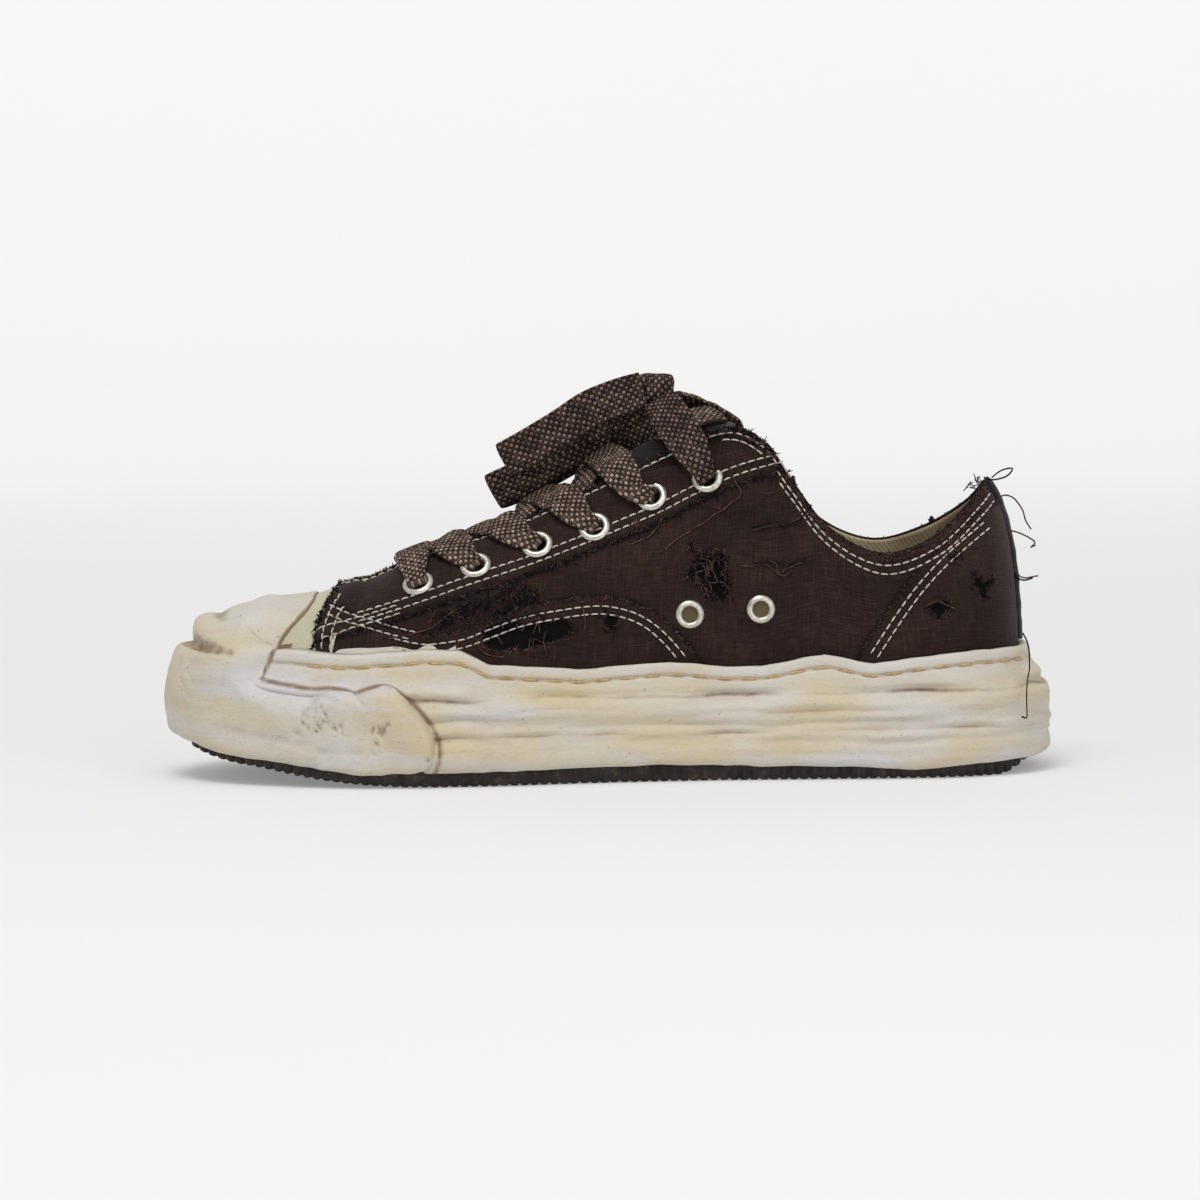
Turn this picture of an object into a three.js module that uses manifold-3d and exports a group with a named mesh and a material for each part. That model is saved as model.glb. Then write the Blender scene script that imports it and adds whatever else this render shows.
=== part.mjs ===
// Worn out low canvas sneaker, right shoe, with a thick melted rubber sole.
// Millimetres, +Z up, toe towards -X, heel towards +X, the wearer's left (medial) side towards -Y.
// The origin is on the floor under the middle of the shoe.
import * as THREE from 'three';
import { mergeVertices } from 'three/addons/utils/BufferGeometryUtils.js';
import Module from 'manifold-3d';

const wasm = await Module();
wasm.setup();

// ---------- driving dimensions ----------
const CANVAS_WALL = 2.0; // outer canvas and lining together
const PIECE_GAP = 0.35; // between pieces that meet on a curved face
const RECESS_GAP = 0.5; // between the canvas and the rubber that it is sunk in
const TREAD_TOP = 9.0; // top face of the outsole at the waist
const TOE_SPRING = 13.3; // how far the outsole's tip stands off the floor
const SPRING_START_X = -62;
const SPRING_RUN = 87;
const TREAD_PITCH = 6.9;
const TREAD_DEPTH = 3.8;
const TREAD_OFFSET = 5.8; // outsole's edge outside the last's bottom line
const TREAD_TOE_EXTRA = 1.6; // and further out round the toe
const FOXING_OFFSET = 3.6; // top edge of the rubber wall outside the last's bottom line
const SIDE_RING_STEPS = 3; // ring points for each station of the last
const EYELET_OUTER_R = 5.5;
const EYELET_HOLE_R = 3.1;
const VENT_OUTER_R = 4.95;
const VENT_HOLE_R = 2.75;
const EYELET_THICKNESS = 1.1;
const EYELET_LIFT = 0.5; // underside of the flange over the canvas
const EYELET_BARREL = 2.4; // length of the barrel under the flange
const BARREL_WALL = 0.6;
const DRILL_EXTRA = 0.9; // radius of the canvas hole over the eyelet's own hole
const LACE_WIDTH = 13;
const LACE_THICKNESS = 2.2;
const TONGUE_THICKNESS = 3.0;
const INSOLE_THICKNESS = 4.0;
const CAP_THICKNESS = 1.5;

// ---------- the last ----------
// Each station joins a point of the bottom line to a point of the rim (collar or throat edge).
// lean: how far the side stands out under the rim; drop: how steeply it falls away from the rim.
const MEDIAL_STATIONS = [
  { bottom: [145, 0], rim: [133, 0, 101.5], lean: 0.88, drop: 0.13 },
  { bottom: [139, -20], rim: [127, -13, 95], lean: 0.85, drop: 0.14 },
  { bottom: [122, -32], rim: [113, -24, 83], lean: 0.7, drop: 0.2 },
  { bottom: [98, -34.5], rim: [95, -29.5, 78.2], lean: 0.6, drop: 0.2 },
  { bottom: [78, -34.5], rim: [77, -30, 87.5], lean: 0.65, drop: 0.25 },
  { bottom: [62, -34.5], rim: [64, -28.5, 104.5], lean: 0.7, drop: 0.28 },
  { bottom: [49, -34.5], rim: [55, -26, 117], lean: 0.75, drop: 0.28 },
  { bottom: [35, -35], rim: [43, -22, 121.5], lean: 0.78, drop: 0.28 },
  { bottom: [17, -36.5], rim: [24, -18, 113.5], lean: 0.78, drop: 0.26 },
  { bottom: [-10, -40], rim: [-5, -16, 99.5], lean: 0.74, drop: 0.22 },
  { bottom: [-40, -46], rim: [-37, -14, 86.5], lean: 0.7, drop: 0.15 },
  { bottom: [-70, -48], rim: [-64, -11.5, 77.5], lean: 0.68, drop: 0.1 },
  { bottom: [-101, -43], rim: [-84, -8, 68.5], lean: 0.66, drop: 0.06 },
  { bottom: [-128, -28], rim: [-92.5, -4.5, 64], lean: 0.62, drop: 0.04 },
  { bottom: [-141, -5], rim: [-95.5, 0, 62.6], lean: 0.6, drop: 0.03 },
];
const LATERAL_STATIONS = [
  { bottom: [-131, 22], rim: [-92.5, 4.5, 64], lean: 0.62, drop: 0.04 },
  { bottom: [-108, 39], rim: [-84, 8, 68], lean: 0.66, drop: 0.06 },
  { bottom: [-76, 49], rim: [-64, 12, 77], lean: 0.68, drop: 0.1 },
  { bottom: [-42, 53], rim: [-37, 15, 86], lean: 0.7, drop: 0.15 },
  { bottom: [-10, 51], rim: [-5, 17.5, 98.5], lean: 0.74, drop: 0.22 },
  { bottom: [17, 46.5], rim: [24, 19.5, 112], lean: 0.78, drop: 0.26 },
  { bottom: [35, 43], rim: [43, 23, 119.5], lean: 0.78, drop: 0.28 },
  { bottom: [49, 40.5], rim: [55, 26.5, 114.5], lean: 0.75, drop: 0.28 },
  { bottom: [62, 38.5], rim: [64, 29, 102], lean: 0.7, drop: 0.28 },
  { bottom: [78, 36.5], rim: [77, 31, 86.5], lean: 0.65, drop: 0.25 },
  { bottom: [98, 35], rim: [95, 30, 79.4], lean: 0.6, drop: 0.2 },
  { bottom: [122, 32.5], rim: [113, 25, 84.2], lean: 0.7, drop: 0.2 },
  { bottom: [139, 20.5], rim: [127, 13.5, 93.5], lean: 0.85, drop: 0.14 },
];
const STATIONS = [...MEDIAL_STATIONS, ...LATERAL_STATIONS];
const TOE_STATION = MEDIAL_STATIONS.length - 1;
const STATION_COUNT = STATIONS.length;

const closedCurve = (points) => new THREE.CatmullRomCurve3(points, true, 'catmullrom', 0.5);
const bottomCurve = closedCurve(STATIONS.map((s) => new THREE.Vector3(s.bottom[0], s.bottom[1], 0)));
const rimCurve = closedCurve(STATIONS.map((s) => new THREE.Vector3(...s.rim)));
const leanCurve = closedCurve(STATIONS.map((s) => new THREE.Vector3(s.lean, s.drop, 0)));

const at = (curve, station) => curve.getPoint(THREE.MathUtils.euclideanModulo(station / STATION_COUNT, 1));
const smooth = (x, low, high) => THREE.MathUtils.smoothstep(x, low, high);
const mix = THREE.MathUtils.lerp;

// Straight lines between [x, value] pairs, held at both ends.
function along(table, x) {
  const last = table.length - 1;
  if (x <= table[0][0]) return table[0][1];
  if (x >= table[last][0]) return table[last][1];
  const k = table.findIndex((row) => row[0] > x);
  const share = (x - table[k - 1][0]) / (table[k][0] - table[k - 1][0]);
  return mix(table[k - 1][1], table[k][1], share);
}

// Toe spring: rise of the sole's underside over the floor.
const springAt = (x) => TOE_SPRING * (Math.max(SPRING_START_X - x, 0) / SPRING_RUN) ** 2;

const footbedAt = (x) => 22 + 6 * smooth(x, -40, 70) + 0.6 * springAt(x);

// A point of the last's side: share 0 on the bottom line, 1 on the rim.
function lastPoint(station, share) {
  const foot = at(bottomCurve, station);
  foot.z = footbedAt(foot.x);
  const rim = at(rimCurve, station);
  const shape = at(leanCurve, station);
  const height = rim.z - foot.z;
  const low = foot.clone().add(new THREE.Vector3(0, 0, 0.4 * height));
  const high = rim.clone().lerp(foot, shape.x);
  high.z = rim.z - shape.y * height;
  return new THREE.CubicBezierCurve3(foot, low, high, rim).getPoint(share);
}

function lastNormal(station, share) {
  const step = 0.02;
  const low = Math.max(share - step, 0);
  const high = Math.min(share + step, 1);
  const up = lastPoint(station, high).sub(lastPoint(station, low));
  const forward = lastPoint(station + step, share).sub(lastPoint(station - step, share));
  return up.cross(forward).normalize();
}

const offsetPoint = (station, share, offset) =>
  lastPoint(station, share).addScaledVector(lastNormal(station, share), offset);

// The share of the side at which the last reaches height z.
function shareAtHeight(station, z) {
  let low = 0;
  let high = 1;
  for (let k = 0; k < 30; k += 1) {
    const middle = (low + high) / 2;
    if (lastPoint(station, middle).z < z) low = middle;
    else high = middle;
  }
  return low;
}

// A point outside (or inside) the bottom line at height z.
function outlinePoint(station, offset, z) {
  const here = at(bottomCurve, station);
  const ahead = at(bottomCurve, station + 0.02).sub(at(bottomCurve, station - 0.02)).normalize();
  return new THREE.Vector3(here.x - ahead.y * offset, here.y + ahead.x * offset, z);
}

// The same, at a height over the sprung underside of the sole.
function sprungPoint(station, offset, lift) {
  const point = outlinePoint(station, offset, 0);
  point.z = lift + springAt(point.x);
  return point;
}

// ---------- mesh helpers ----------
// Vertices and triangles as one closed geometry with its faces pointing out.
function closedGeometry(vertices, triangles) {
  let volume = 0;
  for (const [a, b, c] of triangles) {
    volume += vertices[a].dot(vertices[b].clone().cross(vertices[c]));
  }
  const geometry = new THREE.BufferGeometry();
  const numbers = vertices.flatMap((v) => [v.x, v.y, v.z]);
  geometry.setAttribute('position', new THREE.Float32BufferAttribute(numbers, 3));
  geometry.setIndex(triangles.flatMap(([a, b, c]) => (volume < 0 ? [a, c, b] : [a, b, c])));
  return geometry;
}

// Joins neighbouring rings of equal size. 'loop' joins the last ring to the first,
// 'ladder' closes both end rings across, from the medial to the lateral side,
// 'strip' closes both end rings as a band whose second half comes back along its first,
// and 'fan' closes both end rings round their middles.
function loft(rings, ends) {
  const size = rings[0].length;
  const vertices = rings.flat();
  const triangles = [];
  const index = (ring, k) => (ring % rings.length) * size + (k % size);
  const bands = ends === 'loop' ? rings.length : rings.length - 1;
  for (let ring = 0; ring < bands; ring += 1) {
    for (let k = 0; k < size; k += 1) {
      triangles.push([index(ring, k), index(ring, k + 1), index(ring + 1, k + 1)]);
      triangles.push([index(ring, k), index(ring + 1, k + 1), index(ring + 1, k)]);
    }
  }
  const flip = (turned, [a, b, c]) => (turned ? [a, b, c] : [a, c, b]);
  for (const ring of ends === 'loop' ? [] : [0, rings.length - 1]) {
    const turned = ring > 0;
    if (ends === 'fan') {
      const middle = new THREE.Vector3();
      rings[ring].forEach((v) => middle.addScaledVector(v, 1 / size));
      vertices.push(middle);
      for (let k = 0; k < size; k += 1) {
        triangles.push(flip(turned, [index(ring, k), index(ring, k + 1), vertices.length - 1]));
      }
    } else {
      const back = ends === 'strip' ? size - 1 : size;
      for (let k = 0; k < back / 2; k += 1) {
        const [a, b, c, d] = [k, k + 1, back - k - 1, back - k].map((n) => index(ring, n));
        if (b !== c) triangles.push(flip(turned, [a, b, c]));
        if (a !== d) triangles.push(flip(turned, [a, c, d]));
      }
    }
  }
  return closedGeometry(vertices, triangles);
}

function asManifold(geometry) {
  const bare = geometry.clone();
  bare.deleteAttribute('normal');
  bare.deleteAttribute('uv');
  const merged = mergeVertices(bare, 1e-4);
  return new wasm.Manifold(new wasm.Mesh({
    numProp: 3,
    vertProperties: merged.attributes.position.array,
    triVerts: new Uint32Array(merged.index.array),
  }));
}

function asGeometry(solid) {
  const mesh = solid.getMesh();
  const geometry = new THREE.BufferGeometry();
  geometry.setAttribute('position', new THREE.BufferAttribute(new Float32Array(mesh.vertProperties), 3));
  geometry.setIndex(new THREE.BufferAttribute(new Uint32Array(mesh.triVerts), 1));
  return geometry;
}

// Ring stations: even steps, with three on each side where the bumper's tail ends:
// the wall is whole up to the first, its lip is gone at the second, and it is set back at the third.
const TAIL_STATIONS = [10.53, 10.58, 10.67];
function ringStations() {
  const even = Array.from({ length: TOE_STATION * SIDE_RING_STEPS + 1 }, (_, k) => k / SIDE_RING_STEPS);
  const clear = even.filter((s) => TAIL_STATIONS.every((t) => Math.abs(s - t) > 0.06));
  const medial = [...clear, ...TAIL_STATIONS].sort((a, b) => a - b);
  const lateral = medial.slice(1, -1).map((s) => STATION_COUNT - s).reverse();
  return [...medial, ...lateral];
}
const RING = ringStations();
const ringOf = (pointAt) => RING.map((station) => pointAt(station));

// ---------- upper ----------
// Holes under the eyelets are cut through the canvas.
const LACE_EYELETS = [
  { x: -66, z: 68.5 }, { x: -46, z: 74.5 }, { x: -24.5, z: 81.5 },
  { x: -4.5, z: 87.5 }, { x: 15.5, z: 98 }, { x: 35, z: 104.5 },
];
const VENTS = [{ x: 28.3, z: 57.5 }, { x: 53, z: 59 }];

// The station and share of the last at a given x and z on one side.
const SEARCH_RATE = 0.03; // stations moved for each millimetre that x is off
function findOnLast(x, z, lateral) {
  let station = lateral ? 20 : 8;
  const sign = lateral ? 1 : -1;
  let share = 0.7;
  for (let k = 0; k < 60; k += 1) {
    share = shareAtHeight(station, z);
    station += sign * SEARCH_RATE * (x - lastPoint(station, share).x);
  }
  return { station, share };
}

// A frame standing on the outside of the last: +Z of the frame points out of the canvas.
function seatOnLast({ x, z }, lateral) {
  const { station, share } = findOnLast(x, z, lateral);
  const out = lastNormal(station, share);
  const place = lastPoint(station, share).addScaledVector(out, EYELET_LIFT);
  const turn = new THREE.Quaternion().setFromUnitVectors(new THREE.Vector3(0, 0, 1), out);
  return { place, turn, out };
}

const eyeletSeats = [];
for (const side of ['medial', 'lateral']) {
  LACE_EYELETS.forEach((eyelet, k) => {
    const seat = seatOnLast(eyelet, side === 'lateral');
    const name = `eyelet_${side}_${k + 1}`;
    eyeletSeats.push({ name, outer: EYELET_OUTER_R, hole: EYELET_HOLE_R, ...seat });
  });
}
VENTS.forEach((vent, k) => {
  const seat = seatOnLast(vent, false);
  eyeletSeats.push({ name: `vent_${k + 1}`, outer: VENT_OUTER_R, hole: VENT_HOLE_R, ...seat });
});

function buildUpper() {
  const shares = [0, 0.14, 0.28, 0.42, 0.56, 0.7, 0.84, 1];
  const outside = shares.map((share) => ringOf((station) => lastPoint(station, share)));
  const inside = shares.map((share) => ringOf((station) => offsetPoint(station, share, -CANVAS_WALL)));
  let shell = asManifold(loft([...outside, ...inside.reverse()], 'loop'));
  for (const seat of eyeletSeats) {
    const radius = seat.hole + DRILL_EXTRA;
    const drill = new THREE.CylinderGeometry(radius, radius, 6 * CANVAS_WALL, 10);
    drill.rotateX(Math.PI / 2);
    drill.applyQuaternion(seat.turn);
    drill.translate(seat.place.x, seat.place.y, seat.place.z);
    shell = shell.subtract(asManifold(drill));
  }
  return asGeometry(shell);
}

// Flange on the canvas and a short barrel through the hole.
function buildEyelet(seat) {
  const barrel = seat.hole + BARREL_WALL;
  const crown = (seat.outer + seat.hole) / 2;
  const profile = [
    [seat.hole, -EYELET_BARREL], [barrel, -EYELET_BARREL], [barrel, 0], [seat.outer, 0],
    [crown, EYELET_THICKNESS], [seat.hole, EYELET_THICKNESS / 2], [seat.hole, -EYELET_BARREL],
  ];
  const ring = new THREE.LatheGeometry(profile.map(([r, y]) => new THREE.Vector2(r, y)), 12);
  ring.rotateX(Math.PI / 2);
  return ring;
}

// ---------- sole ----------
const LIP_HEIGHT = [
  [-54, 5.2], [2, 6.0], [17, 6.3], [53, 5.1], [86, 4.7], [107, 3.2], [119, 4.3], [147, 6.4], [156, 9],
];
const FOXING_TOP = [
  [-150, 46.5], [-116, 47.3], [-92, 45.5], [-64, 47.3], [-52, 47.0], [-42, 42.0], [-12, 39.4], [21, 41.4],
  [40, 39.6], [53, 39.4], [75, 43.4], [92, 39.9], [115, 43], [135, 44], [146, 43.8],
];
const WALL_LEVELS = [
  { rise: 0, out: 8.8 }, { rise: 0.07, out: 9.7 }, { rise: 0.19, out: 9.5 }, { rise: 0.25, out: 8.6 },
  { rise: 0.32, out: 9.4 }, { rise: 0.42, out: 8.1 }, { rise: 0.5, out: 8.9 }, { rise: 0.62, out: 8.5 },
  { rise: 0.72, out: 5.6 }, { rise: 0.86, out: 4.2 }, { rise: 1, out: FOXING_OFFSET },
];
const UNDER_BUMPER_OFFSET = 4.2; // the wall's outside where the bumper covers it
const HEEL_EXTRA = 1.5; // the wall stands further out behind the heel
const foxingTopAt = (station) => along(FOXING_TOP, at(bottomCurve, station).x);

// 1 behind the bumper's tails, 0 under the bumper: the wall's lower lip, and its offset.
const fromHeel = (station) => Math.min(station, STATION_COUNT - station);
const lipShare = (station) => 1 - smooth(fromHeel(station), TAIL_STATIONS[0], TAIL_STATIONS[1]);
const bareShare = (station) => 1 - smooth(fromHeel(station), TAIL_STATIONS[1], TAIL_STATIONS[2]);

const UNDERSIDE = TREAD_TOP + 0.3; // of the midsole, over the outsole
const treadEdge = (x) => TREAD_OFFSET + TREAD_TOE_EXTRA * smooth(-x, 60, 110);

function wallPoint(station, level) {
  const x = at(bottomCurve, station).x;
  const bare = bareShare(station);
  const heel = HEEL_EXTRA * smooth(x, 120, 142) * (1 - smooth(level.rise, 0.5, 0.75));
  const out = mix(Math.min(level.out, UNDER_BUMPER_OFFSET), level.out + heel, bare);
  const lip = mix(sprungPoint(station, out, UNDERSIDE + 0.2).z, along(LIP_HEIGHT, x), lipShare(station));
  return outlinePoint(station, out, mix(lip, foxingTopAt(station), level.rise));
}

function recessPoint(station, drop) {
  const z = mix(foxingTopAt(station), footbedAt(at(bottomCurve, station).x) - 0.3, drop);
  if (drop === 1) return outlinePoint(station, RECESS_GAP, z);
  return offsetPoint(station, shareAtHeight(station, z), RECESS_GAP);
}

function buildMidsole() {
  const rings = [];
  rings.push(ringOf((station) => {
    return sprungPoint(station, mix(2.6, TREAD_OFFSET + 0.5, bareShare(station)), UNDERSIDE);
  }));
  rings.push(ringOf((station) => {
    const edge = sprungPoint(station, mix(3.4, TREAD_OFFSET + 0.9, bareShare(station)), UNDERSIDE + 0.1);
    edge.z = mix(edge.z, along(LIP_HEIGHT, at(bottomCurve, station).x) + 0.3, lipShare(station));
    return edge;
  }));
  WALL_LEVELS.forEach((level) => rings.push(ringOf((station) => wallPoint(station, level))));
  [0, 0.3, 0.65, 1].forEach((drop) => rings.push(ringOf((station) => recessPoint(station, drop))));
  return loft(rings, 'ladder');
}

// Cross ribs on a slab that follows the toe spring, trimmed to the sole's outline.
function buildOutsole() {
  const firstX = -152;
  const lastX = 152;
  const ribs = Math.round((lastX - firstX) / TREAD_PITCH);
  const pitch = (lastX - firstX) / ribs;
  const heelRound = (x) => 5.3 * smooth(x, 137, 151);
  const side = [];
  const low = (x) => springAt(x) + heelRound(x);
  const ribSide = 0.24 * pitch; // each rib's sloping side, seen from its end
  const groove = (x) => Math.min(low(x) + TREAD_DEPTH, TREAD_TOP + springAt(x) - 1.5);
  for (let k = 0; k < ribs; k += 1) {
    const x = firstX + k * pitch;
    side.push(new THREE.Vector2(x, groove(x)));
    side.push(new THREE.Vector2(x + ribSide, low(x + ribSide)));
    side.push(new THREE.Vector2(x + pitch - ribSide, low(x + pitch - ribSide)));
  }
  side.push(new THREE.Vector2(lastX, groove(lastX)));
  side.push(new THREE.Vector2(lastX, TREAD_TOP));
  for (let x = SPRING_START_X; x >= firstX; x -= 10) {
    side.push(new THREE.Vector2(x, TREAD_TOP + springAt(x)));
  }
  const reach = 70; // half of a width that is past both sides of the sole
  const bar = new THREE.ExtrudeGeometry(new THREE.Shape(side), { depth: 2 * reach, bevelEnabled: false });
  bar.rotateX(Math.PI / 2);
  bar.translate(0, reach, 0);
  const corners = 64;
  const edge = [];
  for (let k = 0; k < corners; k += 1) {
    const station = (k * STATION_COUNT) / corners;
    const point = outlinePoint(station, treadEdge(at(bottomCurve, station).x), 0);
    edge.push(new THREE.Vector2(point.x, point.y));
  }
  const plate = new THREE.ExtrudeGeometry(new THREE.Shape(edge), { depth: 2 * reach, bevelEnabled: false });
  plate.translate(0, 0, -reach);
  return asGeometry(asManifold(bar).intersect(asManifold(plate)));
}

// ---------- toe bumper ----------
const BUMPER_LIP = [
  [-141, 13.2], [-137, 12.4], [-126, 9.6], [-98, 6.2], [-78, 4.2], [-67, 5.4], [-60, 8.2],
];
const TAIL_TOP = 35.4;
const WALL_TOP = 49; // of the band round the toe, under the lumps
const BUMPER_INNER = UNDER_BUMPER_OFFSET + 0.4;
const CAP_CLEARANCE = 2.5; // inside of the bumper over the last, clear of the toe cap
const TAIL_FIRST_STATION = 10.69; // rear end of the side tails
const DOME_FIRST_STATION = 12.5; // rear corners of the dome over the toe
const DOME_FOOT = 9; // the dome starts this far under the band's top, inside the band
// Share of the last's side, and thickness over it at the toe's middle and at the dome's rear corners.
const LUMPS = [
  { share: 0.42, toe: 13.5, side: 10.2 },
  { share: 0.52, toe: 10.8, side: 8.5 },
  { share: 0.64, toe: 6.8, side: 6.6 },
  { share: 0.78, toe: 4.8, side: 4.6 },
  { share: 0.9, toe: 3.9, side: 3.9 },
];
const toeShare = (x) => smooth(-x, 118, 140);
const bodyOffset = (x) => mix(11.2, 15, toeShare(x));

// Section of the band that runs from the medial tail round the toe to the lateral tail.
function bandColumn(station) {
  const x = at(bottomCurve, station).x;
  const lip = along(BUMPER_LIP, x);
  const body = bodyOffset(x);
  const tail = mix(TAIL_TOP, 26, 1 - smooth(-x, 60, 72));
  const top = mix(tail, WALL_TOP, smooth(-x, 110, 118));
  const foot = treadEdge(x) + 0.5;
  return [
    outlinePoint(station, body - 1.8, lip),
    outlinePoint(station, body - 0.2, lip + 2.5),
    outlinePoint(station, body, mix(lip, top, 0.4)),
    outlinePoint(station, body - 0.4, mix(lip, top, 0.75)),
    outlinePoint(station, body - 1.6, mix(lip, top, 0.93)),
    outlinePoint(station, body - 3, top),
    outlinePoint(station, BUMPER_INNER, top),
    sprungPoint(station, BUMPER_INNER, UNDERSIDE + 0.4),
    sprungPoint(station, foot, UNDERSIDE + 0.4),
    outlinePoint(station, foot, lip + 0.2),
  ];
}

// Section of the dome that covers the toe from the band's top to the toe cap.
function domeColumn(station) {
  const toe = toeShare(at(bottomCurve, station).x);
  const shelf = foxingTopAt(station) + 0.5;
  const body = bodyOffset(at(bottomCurve, station).x);
  const inner = [0.9, 0.76, 0.62, shareAtHeight(station, shelf + 1.2)];
  return [
    outlinePoint(station, body - 1.5, WALL_TOP - DOME_FOOT),
    ...LUMPS.map((lump) => offsetPoint(station, lump.share, mix(lump.side, lump.toe, toe))),
    ...inner.map((share) => offsetPoint(station, share, CAP_CLEARANCE)),
    outlinePoint(station, BUMPER_INNER + 1, shelf),
    outlinePoint(station, BUMPER_INNER + 1, WALL_TOP - DOME_FOOT),
  ];
}

// Evenly spaced stations from one station round the toe to its mirror image.
function stationsAround(first, step) {
  const count = Math.round((2 * (TOE_STATION - first)) / step);
  return Array.from({ length: count + 1 }, (_, k) => first + (2 * (TOE_STATION - first) * k) / count);
}

function buildToeBumper() {
  const band = loft(stationsAround(TAIL_FIRST_STATION, 0.24).map(bandColumn), 'strip');
  const dome = loft(stationsAround(DOME_FIRST_STATION, 0.2).map(domeColumn), 'strip');
  return asGeometry(asManifold(band).add(asManifold(dome)));
}

// ---------- toe cap ----------
const CAP_FIRST_STATION = 12.12; // rear corners of the cap
const CAP_TOP_SHARE = 0.93; // the cap ends just under the front of the throat

function buildToeCap() {
  const columns = stationsAround(CAP_FIRST_STATION, 0.25).map((station) => {
    const low = shareAtHeight(station, foxingTopAt(station) + 0.6);
    const shares = [0, 0.25, 0.5, 0.75, 1].map((part) => mix(low, CAP_TOP_SHARE, part));
    return [
      ...shares.map((share) => offsetPoint(station, share, CAP_THICKNESS)),
      ...shares.map((share) => offsetPoint(station, share, PIECE_GAP)).reverse(),
    ];
  });
  return loft(columns, 'strip');
}

// ---------- insole ----------
function buildInsole() {
  const stations = Array.from({ length: 2 * STATION_COUNT }, (_, k) => k / 2);
  const ring = (inset, lift) => stations.map((station) => {
    const z = footbedAt(at(bottomCurve, station).x) + lift;
    return outlinePoint(station, -inset, z);
  });
  return loft([ring(3.2, 0), ring(3.0, INSOLE_THICKNESS * 0.7), ring(4.4, INSOLE_THICKNESS)], 'ladder');
}

// ---------- tongue ----------
// Height of the tongue's middle over the throat's edges, by x.
const TONGUE_CROWN = [[-88, 0], [-60, -0.5], [-45, 0.5], [-30, 3], [-10, 6], [15, 5], [30, 2], [45, -3]];

// across runs from -1 under the medial edge to 1 under the lateral edge, and past them under the canvas.
// depth is measured down from the tongue's upper face.
function tonguePoint(station, across, depth) {
  const clearance = CANVAS_WALL + 0.7;
  const mirrored = STATION_COUNT - station;
  if (Math.abs(across) >= 1) {
    const side = across < 0 ? station : mirrored;
    return offsetPoint(side, 2 - Math.abs(across), -clearance - depth);
  }
  const medial = offsetPoint(station, 1, -clearance);
  const lateral = offsetPoint(mirrored, 1, -clearance);
  const point = medial.lerp(lateral, (across + 1) / 2);
  const crown = along(TONGUE_CROWN, point.x) + clearance;
  point.z += crown * (1 - across * across) - depth * mix(1, 0.8, Math.abs(across));
  return point;
}

function buildTongue() {
  const steps = [-1.14, -1.07, -1, -0.7, -0.35, 0, 0.35, 0.7, 1, 1.07, 1.14];
  const sections = [];
  for (let station = 12.9; station >= 6.9; station -= 0.4) {
    sections.push([
      ...steps.map((across) => tonguePoint(station, across, 0)),
      ...steps.map((across) => tonguePoint(station, across, TONGUE_THICKNESS)).reverse(),
    ]);
  }
  return loft(sections, 'strip');
}

// ---------- laces ----------
// A flat lace along a smooth line through points; side is the direction of its width,
// turned evenly from the first to the last.
function ribbon(points, sides, steps, width = LACE_WIDTH) {
  const line = new THREE.CatmullRomCurve3(points, false, 'centripetal');
  const [half, thin, edge] = [width / 2, LACE_THICKNESS / 2, 1.2];
  const section = [
    [-half, 0], [edge - half, thin], [half - edge, thin],
    [half, 0], [half - edge, -thin], [edge - half, -thin],
  ];
  const rings = [];
  for (let k = 0; k <= steps; k += 1) {
    const share = k / steps;
    const place = line.getPointAt(share);
    const ahead = line.getTangentAt(share);
    const side = sides[0].clone().lerp(sides[1], share);
    side.addScaledVector(ahead, -side.dot(ahead)).normalize();
    const face = ahead.cross(side).normalize();
    rings.push(section.map(([w, t]) => place.clone().addScaledVector(side, w).addScaledVector(face, t)));
  }
  return loft(rings, 'fan');
}

const vector = ([x, y, z]) => new THREE.Vector3(x, y, z);
const stationOf = LACE_EYELETS.map((eyelet) => findOnLast(eyelet.x, eyelet.z, false).station);
const mirrorStation = (station, lateral) => (lateral ? STATION_COUNT - station : station);

// A point over the throat, lift millimetres above the tongue, seen from the strand's own side.
function throatPoint(station, across, lift, lateral) {
  return tonguePoint(station, lateral ? -across : across, -lift);
}

// Directions of a lace's width where it lies along the throat's edge and on the tongue.
const alongRim = (station) => lastPoint(station - 0.3, 1).sub(lastPoint(station + 0.3, 1)).normalize();
function alongTongue(station) {
  return tonguePoint(station - 0.3, 0, 0).sub(tonguePoint(station + 0.3, 0, 0)).normalize();
}

// The strand that starts on eyelet k of one side, climbs over the edge and dips under the other edge.
function strand(k, lateral) {
  const start = stationOf[k];
  const next = k > 0 ? stationOf[k - 1] : stationOf[0];
  const lean = (share) => mix(start, next, share);
  const seat = eyeletSeats[k + (lateral ? LACE_EYELETS.length : 0)];
  const own = (part, share, out) => offsetPoint(mirrorStation(lean(part), lateral), share, out);
  const points = [
    seat.place.clone().addScaledVector(seat.out, 3.2),
    own(0.12, 0.93, 3.2),
    own(0.2, 1, 2.8),
    throatPoint(lean(0.3), -0.6, 4.6, lateral),
    throatPoint(lean(0.5), 0, 2.3, lateral),
    throatPoint(lean(0.66), 0.6, 2.2, lateral),
  ];
  return ribbon(points, [alongRim(start), alongTongue(lean(0.6))], 9);
}

// The two strands between one pair of eyelets and the next cross on the tongue.
function buildCrossing(k) {
  return asGeometry(asManifold(strand(k, false)).add(asManifold(strand(k, true))));
}

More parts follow.
